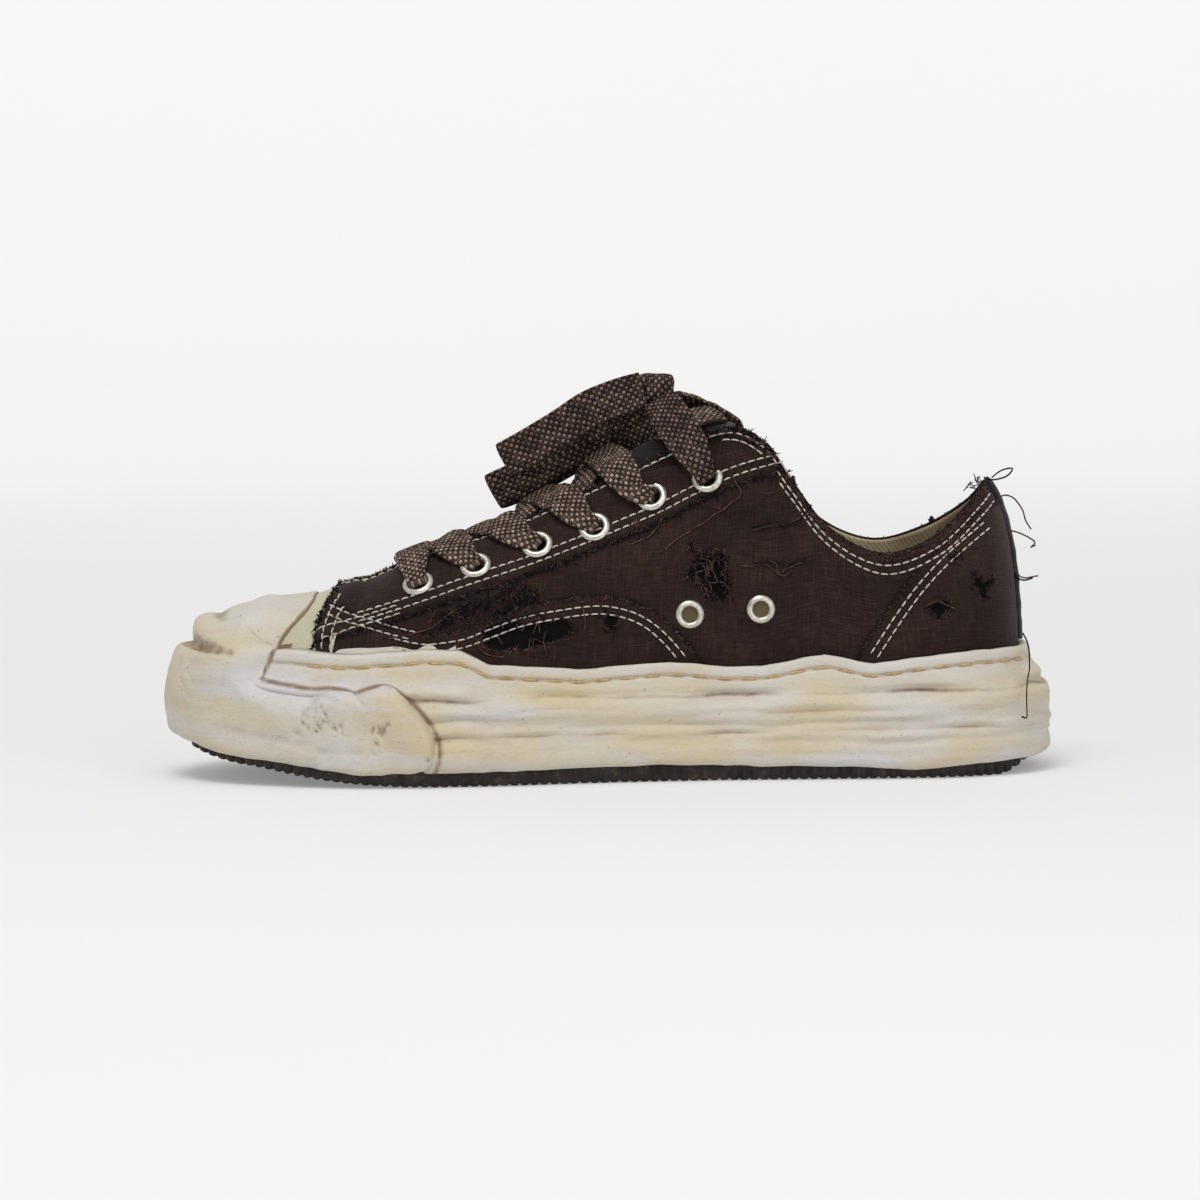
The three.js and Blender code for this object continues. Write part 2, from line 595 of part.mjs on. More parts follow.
// The first strand goes straight across, from one front eyelet to the other.
function buildFirstBar() {
  const halves = [false, true].map((lateral) => {
    const seat = eyeletSeats[lateral ? LACE_EYELETS.length : 0];
    return [
      seat.place.clone().addScaledVector(seat.out, 3.6),
      offsetPoint(mirrorStation(stationOf[0] + 0.12, lateral), 0.93, 3.0),
      throatPoint(stationOf[0] + 0.24, -0.9, 4.3, lateral),
    ];
  });
  const middle = throatPoint(stationOf[0] + 0.3, 0, 2.2, false);
  const side = alongRim(stationOf[0]);
  return ribbon([...halves[0], middle, ...halves[1].reverse()], [side, side], 14);
}

// The last pair crosses low in the throat, before it comes up through the top eyelets.
function buildLowCrossing() {
  const [low, high] = [stationOf[4], stationOf[5]];
  const sides = [alongTongue(low), alongTongue(high)];
  const strands = [false, true].map((lateral) => asManifold(ribbon([
    throatPoint(mix(high, low, 0.85), -0.5, 2.4, lateral),
    throatPoint(mix(high, low, 0.5), 0, 2.4, lateral),
    throatPoint(mix(high, low, 0.15), 0.55, 2.4, lateral),
  ], sides, 4)));
  return asGeometry(strands[0].add(strands[1]));
}

// Routes of the bow, from the knot: two flat loops lying towards the toe and two ends on the lateral side.
const KNOT = [21, -1, 134];
const LOOP_MEDIAL = [
  [13, -7, 134.5], [5, -10, 132.5], [-5.6, -12, 128.5], [-15, -13, 122.5], [-25, -13, 116.5],
  [-32.5, -12, 112.3], [-35.5, -9.5, 110.6], [-34, -6.5, 110.8], [-26, -5, 114], [-14, -4, 120],
  [-2, -3.5, 125.5], [10, -3, 129],
];
const LOOP_LATERAL = [
  [14, 2.5, 127.3], [4, 3, 121.2], [-8, 3.5, 115.4], [-20, 4, 109.3], [-31, 4, 103], [-38, 5, 99.8],
  [-40, 8, 98.5], [-37, 11, 99], [-28, 12, 102.5], [-14, 11.5, 110], [0, 9.5, 118.5], [11, 7.5, 127],
];
const LEAD_MEDIAL = [
  [36, -31, 105], [31, -28.5, 111], [25.5, -23, 119.5], [20.5, -15, 126], [19, -9, 128.5],
];
const LEAD_LATERAL = [
  [37, 35, 106.5], [41.5, 32, 113.5], [43, 25.5, 121.5], [37.5, 16, 128], [30, 7.5, 132],
];
const END_FRONT = [
  [19, 7, 131], [17, 13, 130], [12, 20.5, 125], [4, 30, 114.5], [-3, 37.5, 101], [-8, 44.5, 87],
  [-11, 50, 72], [-12, 53.5, 61],
];
const END_REAR = [
  [25, 6, 127], [26.5, 13, 124.5], [26, 23, 120.5], [25, 32, 112], [24, 38.5, 99], [23, 43.5, 86],
  [22, 48, 72], [21, 51, 61],
];

function buildKnot() {
  const knot = new THREE.SphereGeometry(1, 14, 9);
  knot.scale(6, 5.5, 7.2);
  knot.translate(...KNOT);
  return knot;
}

// Crimped tip on a lace end.
function buildTip(route) {
  const end = vector(route[route.length - 1]);
  const ahead = end.clone().sub(vector(route[route.length - 2])).normalize();
  const length = 18;
  const tip = new THREE.CylinderGeometry(1.9, 1.7, length, 10);
  tip.applyQuaternion(new THREE.Quaternion().setFromUnitVectors(new THREE.Vector3(0, 1, 0), ahead));
  end.addScaledVector(ahead, length / 2 + PIECE_GAP);
  tip.translate(end.x, end.y, end.z);
  return tip;
}

// ---------- the shoe ----------
const COLOURS = {
  outsole: [0x1d1815, 0.75, 0],
  midsole: [0xd8cfbb, 0.62, 0],
  toe_bumper: [0xdbd2bd, 0.62, 0],
  toe_cap: [0xb9b7a0, 0.6, 0],
  upper: [0x2e211e, 0.95, 0],
  insole: [0xa08f74, 0.9, 0],
  tongue: [0x1e1818, 0.95, 0],
  lace: [0x5a463a, 0.95, 0],
  metal: [0xd0cdc6, 0.3, 0.9],
};

const shoe = new THREE.Group();
function addPiece(name, geometry, [color, roughness, metalness]) {
  const mesh = new THREE.Mesh(geometry, new THREE.MeshStandardMaterial({ color, roughness, metalness }));
  mesh.name = name;
  shoe.add(mesh);
  return mesh;
}

addPiece('outsole', buildOutsole(), COLOURS.outsole);
addPiece('midsole', buildMidsole(), COLOURS.midsole);
addPiece('toe_bumper', buildToeBumper(), COLOURS.toe_bumper);
addPiece('toe_cap', buildToeCap(), COLOURS.toe_cap);
addPiece('upper', buildUpper(), COLOURS.upper);
addPiece('insole', buildInsole(), COLOURS.insole);
addPiece('tongue', buildTongue(), COLOURS.tongue);
for (const seat of eyeletSeats) {
  const ring = addPiece(seat.name, buildEyelet(seat), COLOURS.metal);
  ring.position.copy(seat.place);
  ring.quaternion.copy(seat.turn);
}

addPiece('lace_bar', buildFirstBar(), COLOURS.lace);
for (let k = 1; k < LACE_EYELETS.length - 1; k += 1) {
  addPiece(`lace_crossing_${k}`, buildCrossing(k), COLOURS.lace);
}
addPiece('lace_crossing_5', buildLowCrossing(), COLOURS.lace);
const UPRIGHT = new THREE.Vector3(-0.475, 0, 0.88);
const FORE_AND_AFT = new THREE.Vector3(1, 0, 0.2);
const ACROSS = new THREE.Vector3(0.32, -0.87, 0.37);
const LEAD_WIDTH = 10;
function addLace(name, route, sides, steps, width) {
  addPiece(name, ribbon(route.map(vector), sides, steps, width), COLOURS.lace);
}
addLace('lace_lead_medial', LEAD_MEDIAL, [FORE_AND_AFT, FORE_AND_AFT], 7, LEAD_WIDTH);
addLace('lace_lead_lateral', LEAD_LATERAL, [FORE_AND_AFT, ACROSS], 7, LEAD_WIDTH);
addPiece('lace_knot', buildKnot(), COLOURS.lace);
addLace('lace_loop_medial', LOOP_MEDIAL, [UPRIGHT, UPRIGHT], 22);
addLace('lace_loop_lateral', LOOP_LATERAL, [UPRIGHT, UPRIGHT], 22);
addLace('lace_end_front', END_FRONT, [FORE_AND_AFT, FORE_AND_AFT], 12);
addLace('lace_end_rear', END_REAR, [FORE_AND_AFT, FORE_AND_AFT], 12);
addPiece('lace_tip_front', buildTip(END_FRONT), COLOURS.lace);
addPiece('lace_tip_rear', buildTip(END_REAR), COLOURS.lace);

// The origin is under the middle of the shoe without its loose laces.
const LOOSE_LACES = [
  'lace_knot', 'lace_loop_medial', 'lace_loop_lateral', 'lace_end_front', 'lace_end_rear',
  'lace_tip_front', 'lace_tip_rear',
];
const body = new THREE.Box3();
for (const piece of shoe.children) {
  if (!LOOSE_LACES.includes(piece.name)) body.expandByObject(piece, true);
}
const middle = body.getCenter(new THREE.Vector3());
shoe.position.set(-middle.x, -middle.y, -body.min.z);

export default shoe;
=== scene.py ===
import math
import random

import bmesh
import bpy
import numpy as np
from mathutils import Matrix, Vector, noise


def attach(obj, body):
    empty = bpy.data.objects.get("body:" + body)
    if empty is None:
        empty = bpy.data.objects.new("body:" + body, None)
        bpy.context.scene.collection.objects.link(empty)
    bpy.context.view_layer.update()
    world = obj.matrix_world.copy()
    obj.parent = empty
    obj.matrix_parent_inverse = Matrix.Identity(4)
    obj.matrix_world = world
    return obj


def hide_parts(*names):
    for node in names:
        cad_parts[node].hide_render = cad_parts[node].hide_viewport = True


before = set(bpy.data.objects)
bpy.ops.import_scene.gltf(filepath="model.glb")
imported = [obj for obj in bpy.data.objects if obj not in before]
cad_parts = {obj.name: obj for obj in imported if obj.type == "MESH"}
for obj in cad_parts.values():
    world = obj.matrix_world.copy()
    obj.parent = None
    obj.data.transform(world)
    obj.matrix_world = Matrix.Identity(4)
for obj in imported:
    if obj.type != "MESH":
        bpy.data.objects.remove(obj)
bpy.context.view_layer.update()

scene = bpy.context.scene
scene.view_settings.view_transform = "Standard"

# ---------- camera ----------
# A long lens a few degrees above the floor, square to the shoe's medial side, with the toe to
# the left. The small roll keeps the heel end of the sole slightly higher than the toe end.
CAMERA_DISTANCE = 1.9
camera_data = bpy.data.cameras.new("camera")
camera_data.lens = 161
camera_data.sensor_width = 36
camera = bpy.data.objects.new("camera", camera_data)
scene.collection.objects.link(camera)
aim = Matrix.Translation((-0.0030, 0, 0.0600))
tilt = Matrix.Rotation(math.radians(90 - 4.5), 4, "X")
roll = Matrix.Rotation(math.radians(-0.6), 4, "Z")
camera.matrix_world = aim @ tilt @ roll @ Matrix.Translation((0, 0, CAMERA_DISTANCE))
scene.camera = camera

# ---------- bow ----------
# One flat woven cotton lace, 13 mm wide, tied in a loose bow. Two folded loops lie towards the
# toe and two ends hang down the lateral side. Each is a ribbon along its own smooth line.
LACE_WIDTH = 13.0
LACE_THICKNESS = 2.2
CENTRE_X = -0.113
CENTRE_Y = -1.708


def metres(points):
    """Millimetres in the last's own frame to metres in the row's frame."""
    return (np.asarray(points, float) + (CENTRE_X, CENTRE_Y, 0)) / 1000


def smooth_line(points, step=1.0):
    """Evenly spaced points on a smooth curve through the given ones."""
    knots = np.array(points, float)
    ends = np.vstack([2 * knots[0] - knots[1], knots, 2 * knots[-1] - knots[-2]])
    share = np.linspace(0, 1, 16, endpoint=False)[:, None]
    parts = []
    for a, b, c, d in zip(ends, ends[1:], ends[2:], ends[3:]):
        cubic = (2 * a - 5 * b + 4 * c - d) * share**2 + (3 * b - a - 3 * c + d) * share**3
        parts.append(0.5 * (2 * b + (c - a) * share + cubic))
    dense = np.vstack(parts + [knots[-1:]])
    run = np.concatenate([[0], np.cumsum(np.linalg.norm(np.diff(dense, axis=0), axis=1))])
    at = np.linspace(0, run[-1], max(2, round(run[-1] / step) + 1))
    return np.stack([np.interp(at, run, dense[:, k]) for k in range(dense.shape[1])], axis=1)


def unit(vectors):
    vectors = np.asarray(vectors, float)
    return vectors / np.maximum(np.linalg.norm(vectors, axis=-1, keepdims=True), 1e-9)


def skin(name, points, wrap_rows=False, wrap_columns=False, cloth=None, values=None, caps=True):
    """A grid of quads, moved so that its vertices lie on rows of points. cloth holds the flat
    place of each point in millimetres, and values the numbers that the material reads."""
    rows, columns = points.shape[:2]
    bm = bmesh.new()
    bmesh.ops.create_grid(bm, x_segments=columns - 1, y_segments=rows - 1, size=0.5)
    bm.verts.ensure_lookup_table()
    column_of = [round((v.co.x + 0.5) * (columns - 1)) for v in bm.verts]
    row_of = [round((v.co.y + 0.5) * (rows - 1)) for v in bm.verts]
    layers = {key: bm.verts.layers.float.new(key) for key in values or {}}
    seats = metres(points)
    for vert, row, column in zip(bm.verts, row_of, column_of):
        vert.co = seats[row, column]
        for key, layer in layers.items():
            vert[layer] = float(values[key][row, column])
    if cloth is not None:
        uv = bm.loops.layers.uv.new("cloth")
        for face in bm.faces:
            for loop in face.loops:
                k = loop.vert.index
                loop[uv].uv = cloth[row_of[k], column_of[k]]
    if wrap_rows or wrap_columns:
        bmesh.ops.remove_doubles(bm, verts=bm.verts, dist=2e-6)
    if caps:
        rim = [edge for edge in bm.edges if edge.is_boundary]
        bmesh.ops.holes_fill(bm, edges=rim, sides=0)
        caps_made = [face for face in bm.faces if len(face.verts) > 4]
        bmesh.ops.triangulate(bm, faces=caps_made)
        bmesh.ops.recalc_face_normals(bm, faces=bm.faces)
    return piece_of(name, bm)


def piece_of(name, bm, smooth=True):
    mesh = bpy.data.meshes.new(name)
    bm.to_mesh(mesh)
    bm.free()
    for face in mesh.polygons:
        face.use_smooth = smooth
    piece = bpy.data.objects.new(name, mesh)
    scene.collection.objects.link(piece)
    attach(piece, "root")
    return piece


def ribbon(name, line, sides, width=LACE_WIDTH, thickness=LACE_THICKNESS, curl=0.5, cup=0.0, seed=0,
           outward=False):
    """A flat lace along a line; sides are the directions of its width, spread along it, or
    those that its upper face looks in when outward is true."""
    ahead = unit(np.gradient(line, axis=0))
    share = np.linspace(0, 1, len(line))
    places = np.linspace(0, 1, len(sides))
    side = np.stack([np.interp(share, places, np.array(sides)[:, k]) for k in range(3)], axis=1)
    if outward:
        side = np.cross(side, ahead)
    side = unit(side - ahead * (side * ahead).sum(1, keepdims=True))
    face = np.cross(ahead, side)
    turn = 2 * np.pi * np.arange(33) / 32
    half = np.broadcast_to(width, len(line))[:, None] / 2
    across = np.sign(np.cos(turn)) * np.abs(np.cos(turn)) ** 0.75 * half
    lift = np.sign(np.sin(turn)) * np.abs(np.sin(turn)) ** 0.6 * thickness / 2
    run = np.concatenate([[0], np.cumsum(np.linalg.norm(np.diff(line, axis=0), axis=1))])
    wave = np.array([curl * noise.noise((seed, k * 0.13, 0)) for k in range(len(line))])
    gather = cup * np.clip(1 - half / (LACE_WIDTH / 2), 0, 1)
    bow = (wave[:, None] - gather * half) * (across / half) ** 2 + lift
    points = line[:, None] + side[:, None] * across[..., None] + face[:, None] * bow[..., None]
    woven = across + (np.sin(turn) < 0) * 40
    flat = np.stack(np.broadcast_arrays(woven, run[:, None]), axis=-1)
    return skin(name, points, wrap_columns=True, cloth=flat)


def colour(code):
    """Linear colour of a six-digit code."""
    parts = [int(code[k : k + 2], 16) / 255 for k in (0, 2, 4)]
    return (*[p / 12.92 if p < 0.04 else ((p + 0.055) / 1.055) ** 2.4 for p in parts], 1)


class Finish:
    """A Principled material and the nodes that feed it."""

    def __init__(self, name, roughness=0.8, **sockets):
        self.material = bpy.data.materials.new(name)
        self.material.use_nodes = True
        self.tree = self.material.node_tree
        self.shader = self.tree.nodes["Principled BSDF"]
        self.shader.inputs["Roughness"].default_value = roughness
        for socket, value in sockets.items():
            self.shader.inputs[socket.replace("_", " ")].default_value = value

    def node(self, kind, inputs=None, **settings):
        node = self.tree.nodes.new(f"ShaderNode{kind}")
        for key, value in settings.items():
            setattr(node, key, value)
        for key, value in (inputs or {}).items():
            if isinstance(value, bpy.types.NodeSocket):
                self.tree.links.new(value, node.inputs[key])
            else:
                node.inputs[key].default_value = value
        return node

    def place(self, scale=(1, 1, 1)):
        where = self.node("TexCoord").outputs["Object"]
        return self.node("Mapping", {0: where, "Scale": scale}).outputs[0]

    def cloth(self):
        return self.node("UVMap", uv_map="cloth").outputs[0]

    def grain(self, where, scale, detail=4.0, roughness=0.55, distortion=0.0):
        inputs = {"Vector": where, "Scale": scale, "Detail": detail}
        inputs.update({"Roughness": roughness, "Distortion": distortion})
        return self.node("TexNoise", inputs).outputs["Fac"]

    def math(self, operation, a, b=0.0):
        return self.node("Math", {0: a, 1: b}, operation=operation).outputs[0]

    def ramp(self, factor, stops):
        ramp = self.node("ValToRGB", {"Fac": factor})
        elements = ramp.color_ramp.elements
        while len(elements) < len(stops):
            elements.new(0.5)
        for element, (position, value) in zip(elements, stops):
            element.position = position
            grey = (value, value, value, 1)
            element.color = colour(value) if isinstance(value, str) else grey
        return ramp.outputs["Color"]

    def mix(self, factor, a, b, blend="MIX"):
        node = self.node("Mix", data_type="RGBA", blend_type=blend)
        for key, value in ((0, factor), (6, a), (7, b)):
            if isinstance(value, bpy.types.NodeSocket):
                self.tree.links.new(value, node.inputs[key])
            else:
                node.inputs[key].default_value = value
        return node.outputs[2]

    def number(self, name):
        return self.node("Attribute", attribute_name=name).outputs["Fac"]

    def bump(self, height, distance, strength=1.0, under=None):
        inputs = {"Height": height, "Distance": distance, "Strength": strength}
        if under is not None:
            inputs["Normal"] = under
        return self.node("Bump", inputs).outputs["Normal"]

    def set(self, socket, value):
        self.tree.links.new(value, self.shader.inputs[socket])

    def put_on(self, *pieces):
        for piece in pieces:
            piece.data.materials.clear()
            piece.data.materials.append(self.material)


def woven_lace(name, dark, middle, light):
    """Coarse basket weave: raised cells of mixed dark and tan yarn, 1.5 mm apart, with painted shade in the low places
    between them.
    """
    lace = Finish(name, roughness=0.9, Specular_IOR_Level=0.15)
    flat = lace.node("SeparateXYZ", {0: lace.cloth()})
    across = lace.math("DIVIDE", flat.outputs[0], 1.3)
    column = lace.math("FLOOR", across)
    odd = lace.math("MULTIPLY", lace.math("FLOORED_MODULO", column, 2.0), 0.5)
    along = lace.math("ADD", lace.math("DIVIDE", flat.outputs[1], 2.7), odd)
    row = lace.math("FLOOR", along)
    part = lace.math("SUBTRACT", along, row)
    cell = lace.node("CombineXYZ", {0: column, 1: row, 2: 0.0}).outputs[0]
    yarn = lace.node("TexWhiteNoise", {"Vector": cell}, noise_dimensions="2D").outputs["Value"]
    swell_a = lace.math("ABSOLUTE", lace.math("SINE", lace.math("MULTIPLY", across, math.pi)))
    swell_b = lace.math("ABSOLUTE", lace.math("SINE", lace.math("MULTIPLY", part, 2 * math.pi)))
    height = lace.math("POWER", lace.math("MULTIPLY", swell_a, swell_b), 0.5)
    over = lace.math("LESS_THAN", part, 0.5)
    drift = lace.grain(lace.cloth(), 0.1, detail=2.0)
    tone = lace.math("ADD", lace.math("MULTIPLY", yarn, 0.3), lace.math("MULTIPLY", drift, 0.35))
    tone = lace.math("ADD", tone, lace.math("MULTIPLY", over, 0.34))
    shade = lace.ramp(tone, [(0.28, dark), (0.5, middle), (0.78, light)])
    # painted shade: the low places between the raised cells are darkened
    gap_shade = lace.ramp(height, [(0.2, 0.15), (0.75, 1.0)])
    fuzz = lace.ramp(lace.grain(lace.cloth(), 2.6), [(0.3, 0.75), (0.7, 1.15)])
    shade = lace.mix(1.0, lace.mix(1.0, shade, gap_shade, "MULTIPLY"), fuzz, "MULTIPLY")
    lace.set("Base Color", shade)
    lace.set("Normal", lace.bump(height, 0.0006))
    return lace


bow_lace = woven_lace("bow_lace", "2b201e", "513f3a", "8a756a")
throat_lace = woven_lace("throat_lace", "382a26", "705b51", "b39e8e")

KNOT = (21, -1, 134)
LOOP_MEDIAL = [
    (13, -7, 134.5), (5, -10, 132.5), (-5.6, -12, 128.5), (-15, -13, 122.5), (-25, -13, 116.5),
    (-32.5, -12, 112.3), (-35.5, -9.5, 110.6), (-34, -6.5, 110.8), (-26, -5, 114),
    (-14, -4, 120), (-2, -3.5, 125.5), (10, -3, 129),
]
LOOP_LATERAL = [
    (14, 2.5, 127.3), (4, 3, 121.2), (-8, 3.5, 115.4), (-20, 4, 109.3), (-31, 4, 103),
    (-38, 5, 99.8), (-40, 8, 98.5), (-37, 11, 99), (-28, 12, 102.5), (-14, 11.5, 110),
    (0, 9.5, 118.5), (11, 7.5, 127),
]
END_FRONT = [
    (19, 7, 131), (17, 13, 130), (12, 20.5, 125), (4, 30, 114.5), (-3, 37.5, 101),
    (-8, 44.5, 87), (-11, 50, 72), (-12, 53.5, 61),
]
END_REAR = [
    (25, 6, 127), (26.5, 13, 124.5), (26, 23, 120.5), (25, 32, 112), (24, 38.5, 99),
    (23, 43.5, 86), (22, 48, 72), (21, 51, 61),
]
UPRIGHT = (-0.475, 0, 0.88)
FORE_AND_AFT = (1, 0, 0.2)


def lace_tip(name, route):
    """A crimped sleeve over the lace's cut end: a lathe-turned tube with two pinched rings."""
    end = np.array(route[-1], float)
    ahead = unit(end - np.array(route[-2], float))
    bm = bmesh.new()
    for radius, out in ((0.4, 0.35), (1.7, 0.35), (1.9, 1.0), (1.9, 4.5), (1.7, 5.3), (1.9, 6.1),
                        (1.9, 12), (1.7, 12.8), (1.85, 13.6), (1.75, 17.6), (1.3, 18.3), (0.3, 18.35)):
        ring = bmesh.ops.create_circle(bm, segments=16, radius=radius / 1000, cap_ends=False)
        bmesh.ops.translate(bm, verts=ring["verts"], vec=(0, 0, out / 1000))
        if out > 0.35 or radius > 0.4:
            edges = list({e for v in ring["verts"] for e in v.link_edges})
            bmesh.ops.bridge_loops(bm, edges=previous + edges)
        previous = list({e for v in ring["verts"] for e in v.link_edges if e.is_boundary or not e.link_faces})
    bmesh.ops.holes_fill(bm, edges=[e for e in bm.edges if e.is_boundary], sides=0)
    bmesh.ops.recalc_face_normals(bm, faces=bm.faces)
    turn = Vector((0, 0, 1)).rotation_difference(Vector(ahead)).to_matrix().to_4x4()
    bmesh.ops.transform(bm, verts=bm.verts, matrix=Matrix.Translation(Vector(metres(end))) @ turn)
    tip = piece_of(name, bm)
    tip_finish.put_on(tip)
    return tip


tip_finish = Finish("tip_sleeve", roughness=0.35, Specular_IOR_Level=0.5)
tip_grain = tip_finish.grain(tip_finish.place(), 900)
tip_finish.set("Base Color", tip_finish.ramp(tip_grain, [(0.3, "1c1614"), (0.7, "33281f")]))
tip_finish.set("Normal", tip_finish.bump(tip_grain, 0.0001, 0.4))


def lace_cord(name, node, route, sides, seed=0):
    line = smooth_line(route)
    piece = ribbon(name, line, sides, seed=seed)
    bow_lace.put_on(piece)
    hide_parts(node)
    return piece


def build_knot():
    """The lace's middle wrap: one and a half turns of lace."""
    turn = np.linspace(0, 3.1 * np.pi, 90)
    spread = np.linspace(-2.6, 3.0, 90)
    part = np.linspace(0, 1, 90)
    girth = np.interp(part, (0, 0.14, 0.86, 1), (0.2, 1, 1, 0.2))
    wrap = np.stack([KNOT[0] - 3.5 + spread, KNOT[1] - 5.2 * girth * np.cos(turn - 0.6),
                     KNOT[2] + 0.2 + 5.0 * girth * np.sin(turn - 0.6)], axis=1)
    width = np.interp(part, (0, 0.2, 0.8, 1), (5, 11, 10.5, 5))
    piece = ribbon("bow_knot", wrap, [(1, 0.1, -0.3), (1, 0, 0.2)], width=width, curl=0.5, cup=0.5, seed=7)
    # the wraps draw in at both ends, so the knot is round
    middle = Vector(metres([(KNOT[0] - 3.3, KNOT[1], KNOT[2] + 0.2)])[0])
    for vert in piece.data.vertices:
        off = vert.co - middle
        draw = 1 - 0.45 * min(1.0, (off.x / 0.0088) ** 2)
        vert.co = middle + Vector((off.x * 0.94, off.y * draw, off.z * draw))
    return piece


knot = build_knot()
bow_lace.put_on(knot)
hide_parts("lace_knot")
tips = [lace_tip("tip_front", END_FRONT), lace_tip("tip_rear", END_REAR)]
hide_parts("lace_tip_front")
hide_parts("lace_tip_rear")
lace_cord("bow_loop_medial", "lace_loop_medial", LOOP_MEDIAL, [UPRIGHT, UPRIGHT])
lace_cord("bow_loop_lateral", "lace_loop_lateral", LOOP_LATERAL, [UPRIGHT, UPRIGHT], seed=2)
lace_cord("bow_end_front", "lace_end_front", END_FRONT, [FORE_AND_AFT] * 2, 3)
lace_cord("bow_end_rear", "lace_end_rear", END_REAR, [FORE_AND_AFT] * 2, 4)

# ---------- midsole wall ----------
# Thick poured rubber wall, cream and uneven as if it had melted: a flat stitched band along
# the top, a soft ledge under it, and long folds that wander and merge down to the lower lip.
# The shapes of the upper and the sole both come from the last, set out here first.
# Each station: bottom x, y; rim x, y, z; lean; drop. Medial side from heel to toe, then lateral.
LAST = np.array([
    (145, 0, 133, 0, 101.5, 0.88, 0.13), (139, -20, 127, -13, 95, 0.85, 0.14),
    (122, -32, 113, -24, 83, 0.7, 0.2), (98, -34.5, 95, -29.5, 78.2, 0.6, 0.2),
    (78, -34.5, 77, -30, 87.5, 0.65, 0.25), (62, -34.5, 64, -28.5, 104.5, 0.7, 0.28),
    (49, -34.5, 55, -26, 117, 0.75, 0.28), (35, -35, 43, -22, 121.5, 0.78, 0.28),
    (17, -36.5, 24, -18, 113.5, 0.78, 0.26), (-10, -40, -5, -16, 99.5, 0.74, 0.22),
    (-40, -46, -37, -14, 86.5, 0.7, 0.15), (-70, -48, -64, -11.5, 77.5, 0.68, 0.1),
    (-101, -43, -84, -8, 68.5, 0.66, 0.06), (-128, -28, -92.5, -4.5, 64, 0.62, 0.04),
    (-141, -5, -95.5, 0, 62.6, 0.6, 0.03), (-131, 22, -92.5, 4.5, 64, 0.62, 0.04),
    (-108, 39, -84, 8, 68, 0.66, 0.06), (-76, 49, -64, 12, 77, 0.68, 0.1),
    (-42, 53, -37, 15, 86, 0.7, 0.15), (-10, 51, -5, 17.5, 98.5, 0.74, 0.22),
    (17, 46.5, 24, 19.5, 112, 0.78, 0.26), (35, 43, 43, 23, 119.5, 0.78, 0.28),
    (49, 40.5, 55, 26.5, 114.5, 0.75, 0.28), (62, 38.5, 64, 29, 102, 0.7, 0.28),
    (78, 36.5, 77, 31, 86.5, 0.65, 0.25), (98, 35, 95, 30, 79.4, 0.6, 0.2),
    (122, 32.5, 113, 25, 84.2, 0.7, 0.2), (139, 20.5, 127, 13.5, 93.5, 0.85, 0.14),
])
STATIONS = len(LAST)
TOE_STATION = 14


def smoothstep(x, low, high):
    share = np.clip((np.asarray(x, float) - low) / (high - low), 0, 1)
    return share * share * (3 - 2 * share)


def blend(a, b, share):
    return a + (b - a) * share


def spring_at(x):
    return np.where(x < -62, 13.3 * ((-62 - np.minimum(x, -62)) / 87) ** 2, 0)


def footbed_at(x):
    return 22 + 6 * smoothstep(x, -40, 70) + 0.6 * spring_at(x)


def station_values(station):
    """The last's seven numbers between its stations, on a closed smooth curve."""
    station = np.asarray(station, float) % STATIONS
    k = np.floor(station).astype(int)
    f = (station - k)[..., None]
    a, b, c, d = (LAST[(k + shift) % STATIONS] for shift in (-1, 0, 1, 2))
    return 0.5 * (2 * b + (c - a) * f + (2 * a - 5 * b + 4 * c - d) * f**2 + (3 * b - a - 3 * c + d) * f**3)


def last_point(station, share):
    """A point of the last's side: share 0 on the bottom line, 1 on the rim."""
    station, share = np.broadcast_arrays(np.asarray(station, float), np.asarray(share, float))
    value = station_values(station)
    foot = np.stack([value[..., 0], value[..., 1], footbed_at(value[..., 0])], axis=-1)
    rim = value[..., 2:5]
    lean, drop = value[..., 5:6], value[..., 6]
    height = rim[..., 2] - foot[..., 2]
    low = foot + np.stack([0 * height, 0 * height, 0.4 * height], axis=-1)
    high = blend(rim, foot, lean)
    high[..., 2] = rim[..., 2] - drop * height
    t = share[..., None]
    return foot * (1 - t) ** 3 + 3 * low * t * (1 - t) ** 2 + 3 * high * t**2 * (1 - t) + rim * t**3


def last_normal(station, share):
    low, high = np.maximum(share - 0.02, 0), np.minimum(share + 0.02, 1)
    up = last_point(station, high) - last_point(station, low)
    ahead = last_point(station + 0.02, share) - last_point(station - 0.02, share)
    return unit(np.cross(up, ahead))


def over_last(station, share, offset):
    offset = np.asarray(offset, float)[..., None]
    return last_point(station, share) + last_normal(station, share) * offset


def share_at_height(station, z):
    station, z = np.broadcast_arrays(np.asarray(station, float), np.asarray(z, float))
    low, high = np.zeros(station.shape), np.ones(station.shape)
    for _ in range(16):
        middle = (low + high) / 2
        under = last_point(station, middle)[..., 2] < z
        low, high = np.where(under, middle, low), np.where(under, high, middle)
    return low


def outline_point(station, offset, z):
    """A point outside the last's bottom line at height z."""
    here = station_values(station)[..., :2]
    ahead = unit(station_values(station + 0.02)[..., :2] - station_values(station - 0.02)[..., :2])
    x = here[..., 0] - ahead[..., 1] * offset
    y = here[..., 1] + ahead[..., 0] * offset
    return np.stack(np.broadcast_arrays(x, y, z), axis=-1)


def sprung_point(station, offset, lift):
    point = outline_point(station, offset, 0.0)
    point[..., 2] = lift + spring_at(point[..., 0])
    return point


def table(pairs, x):
    return np.interp(x, [p[0] for p in pairs], [p[1] for p in pairs])


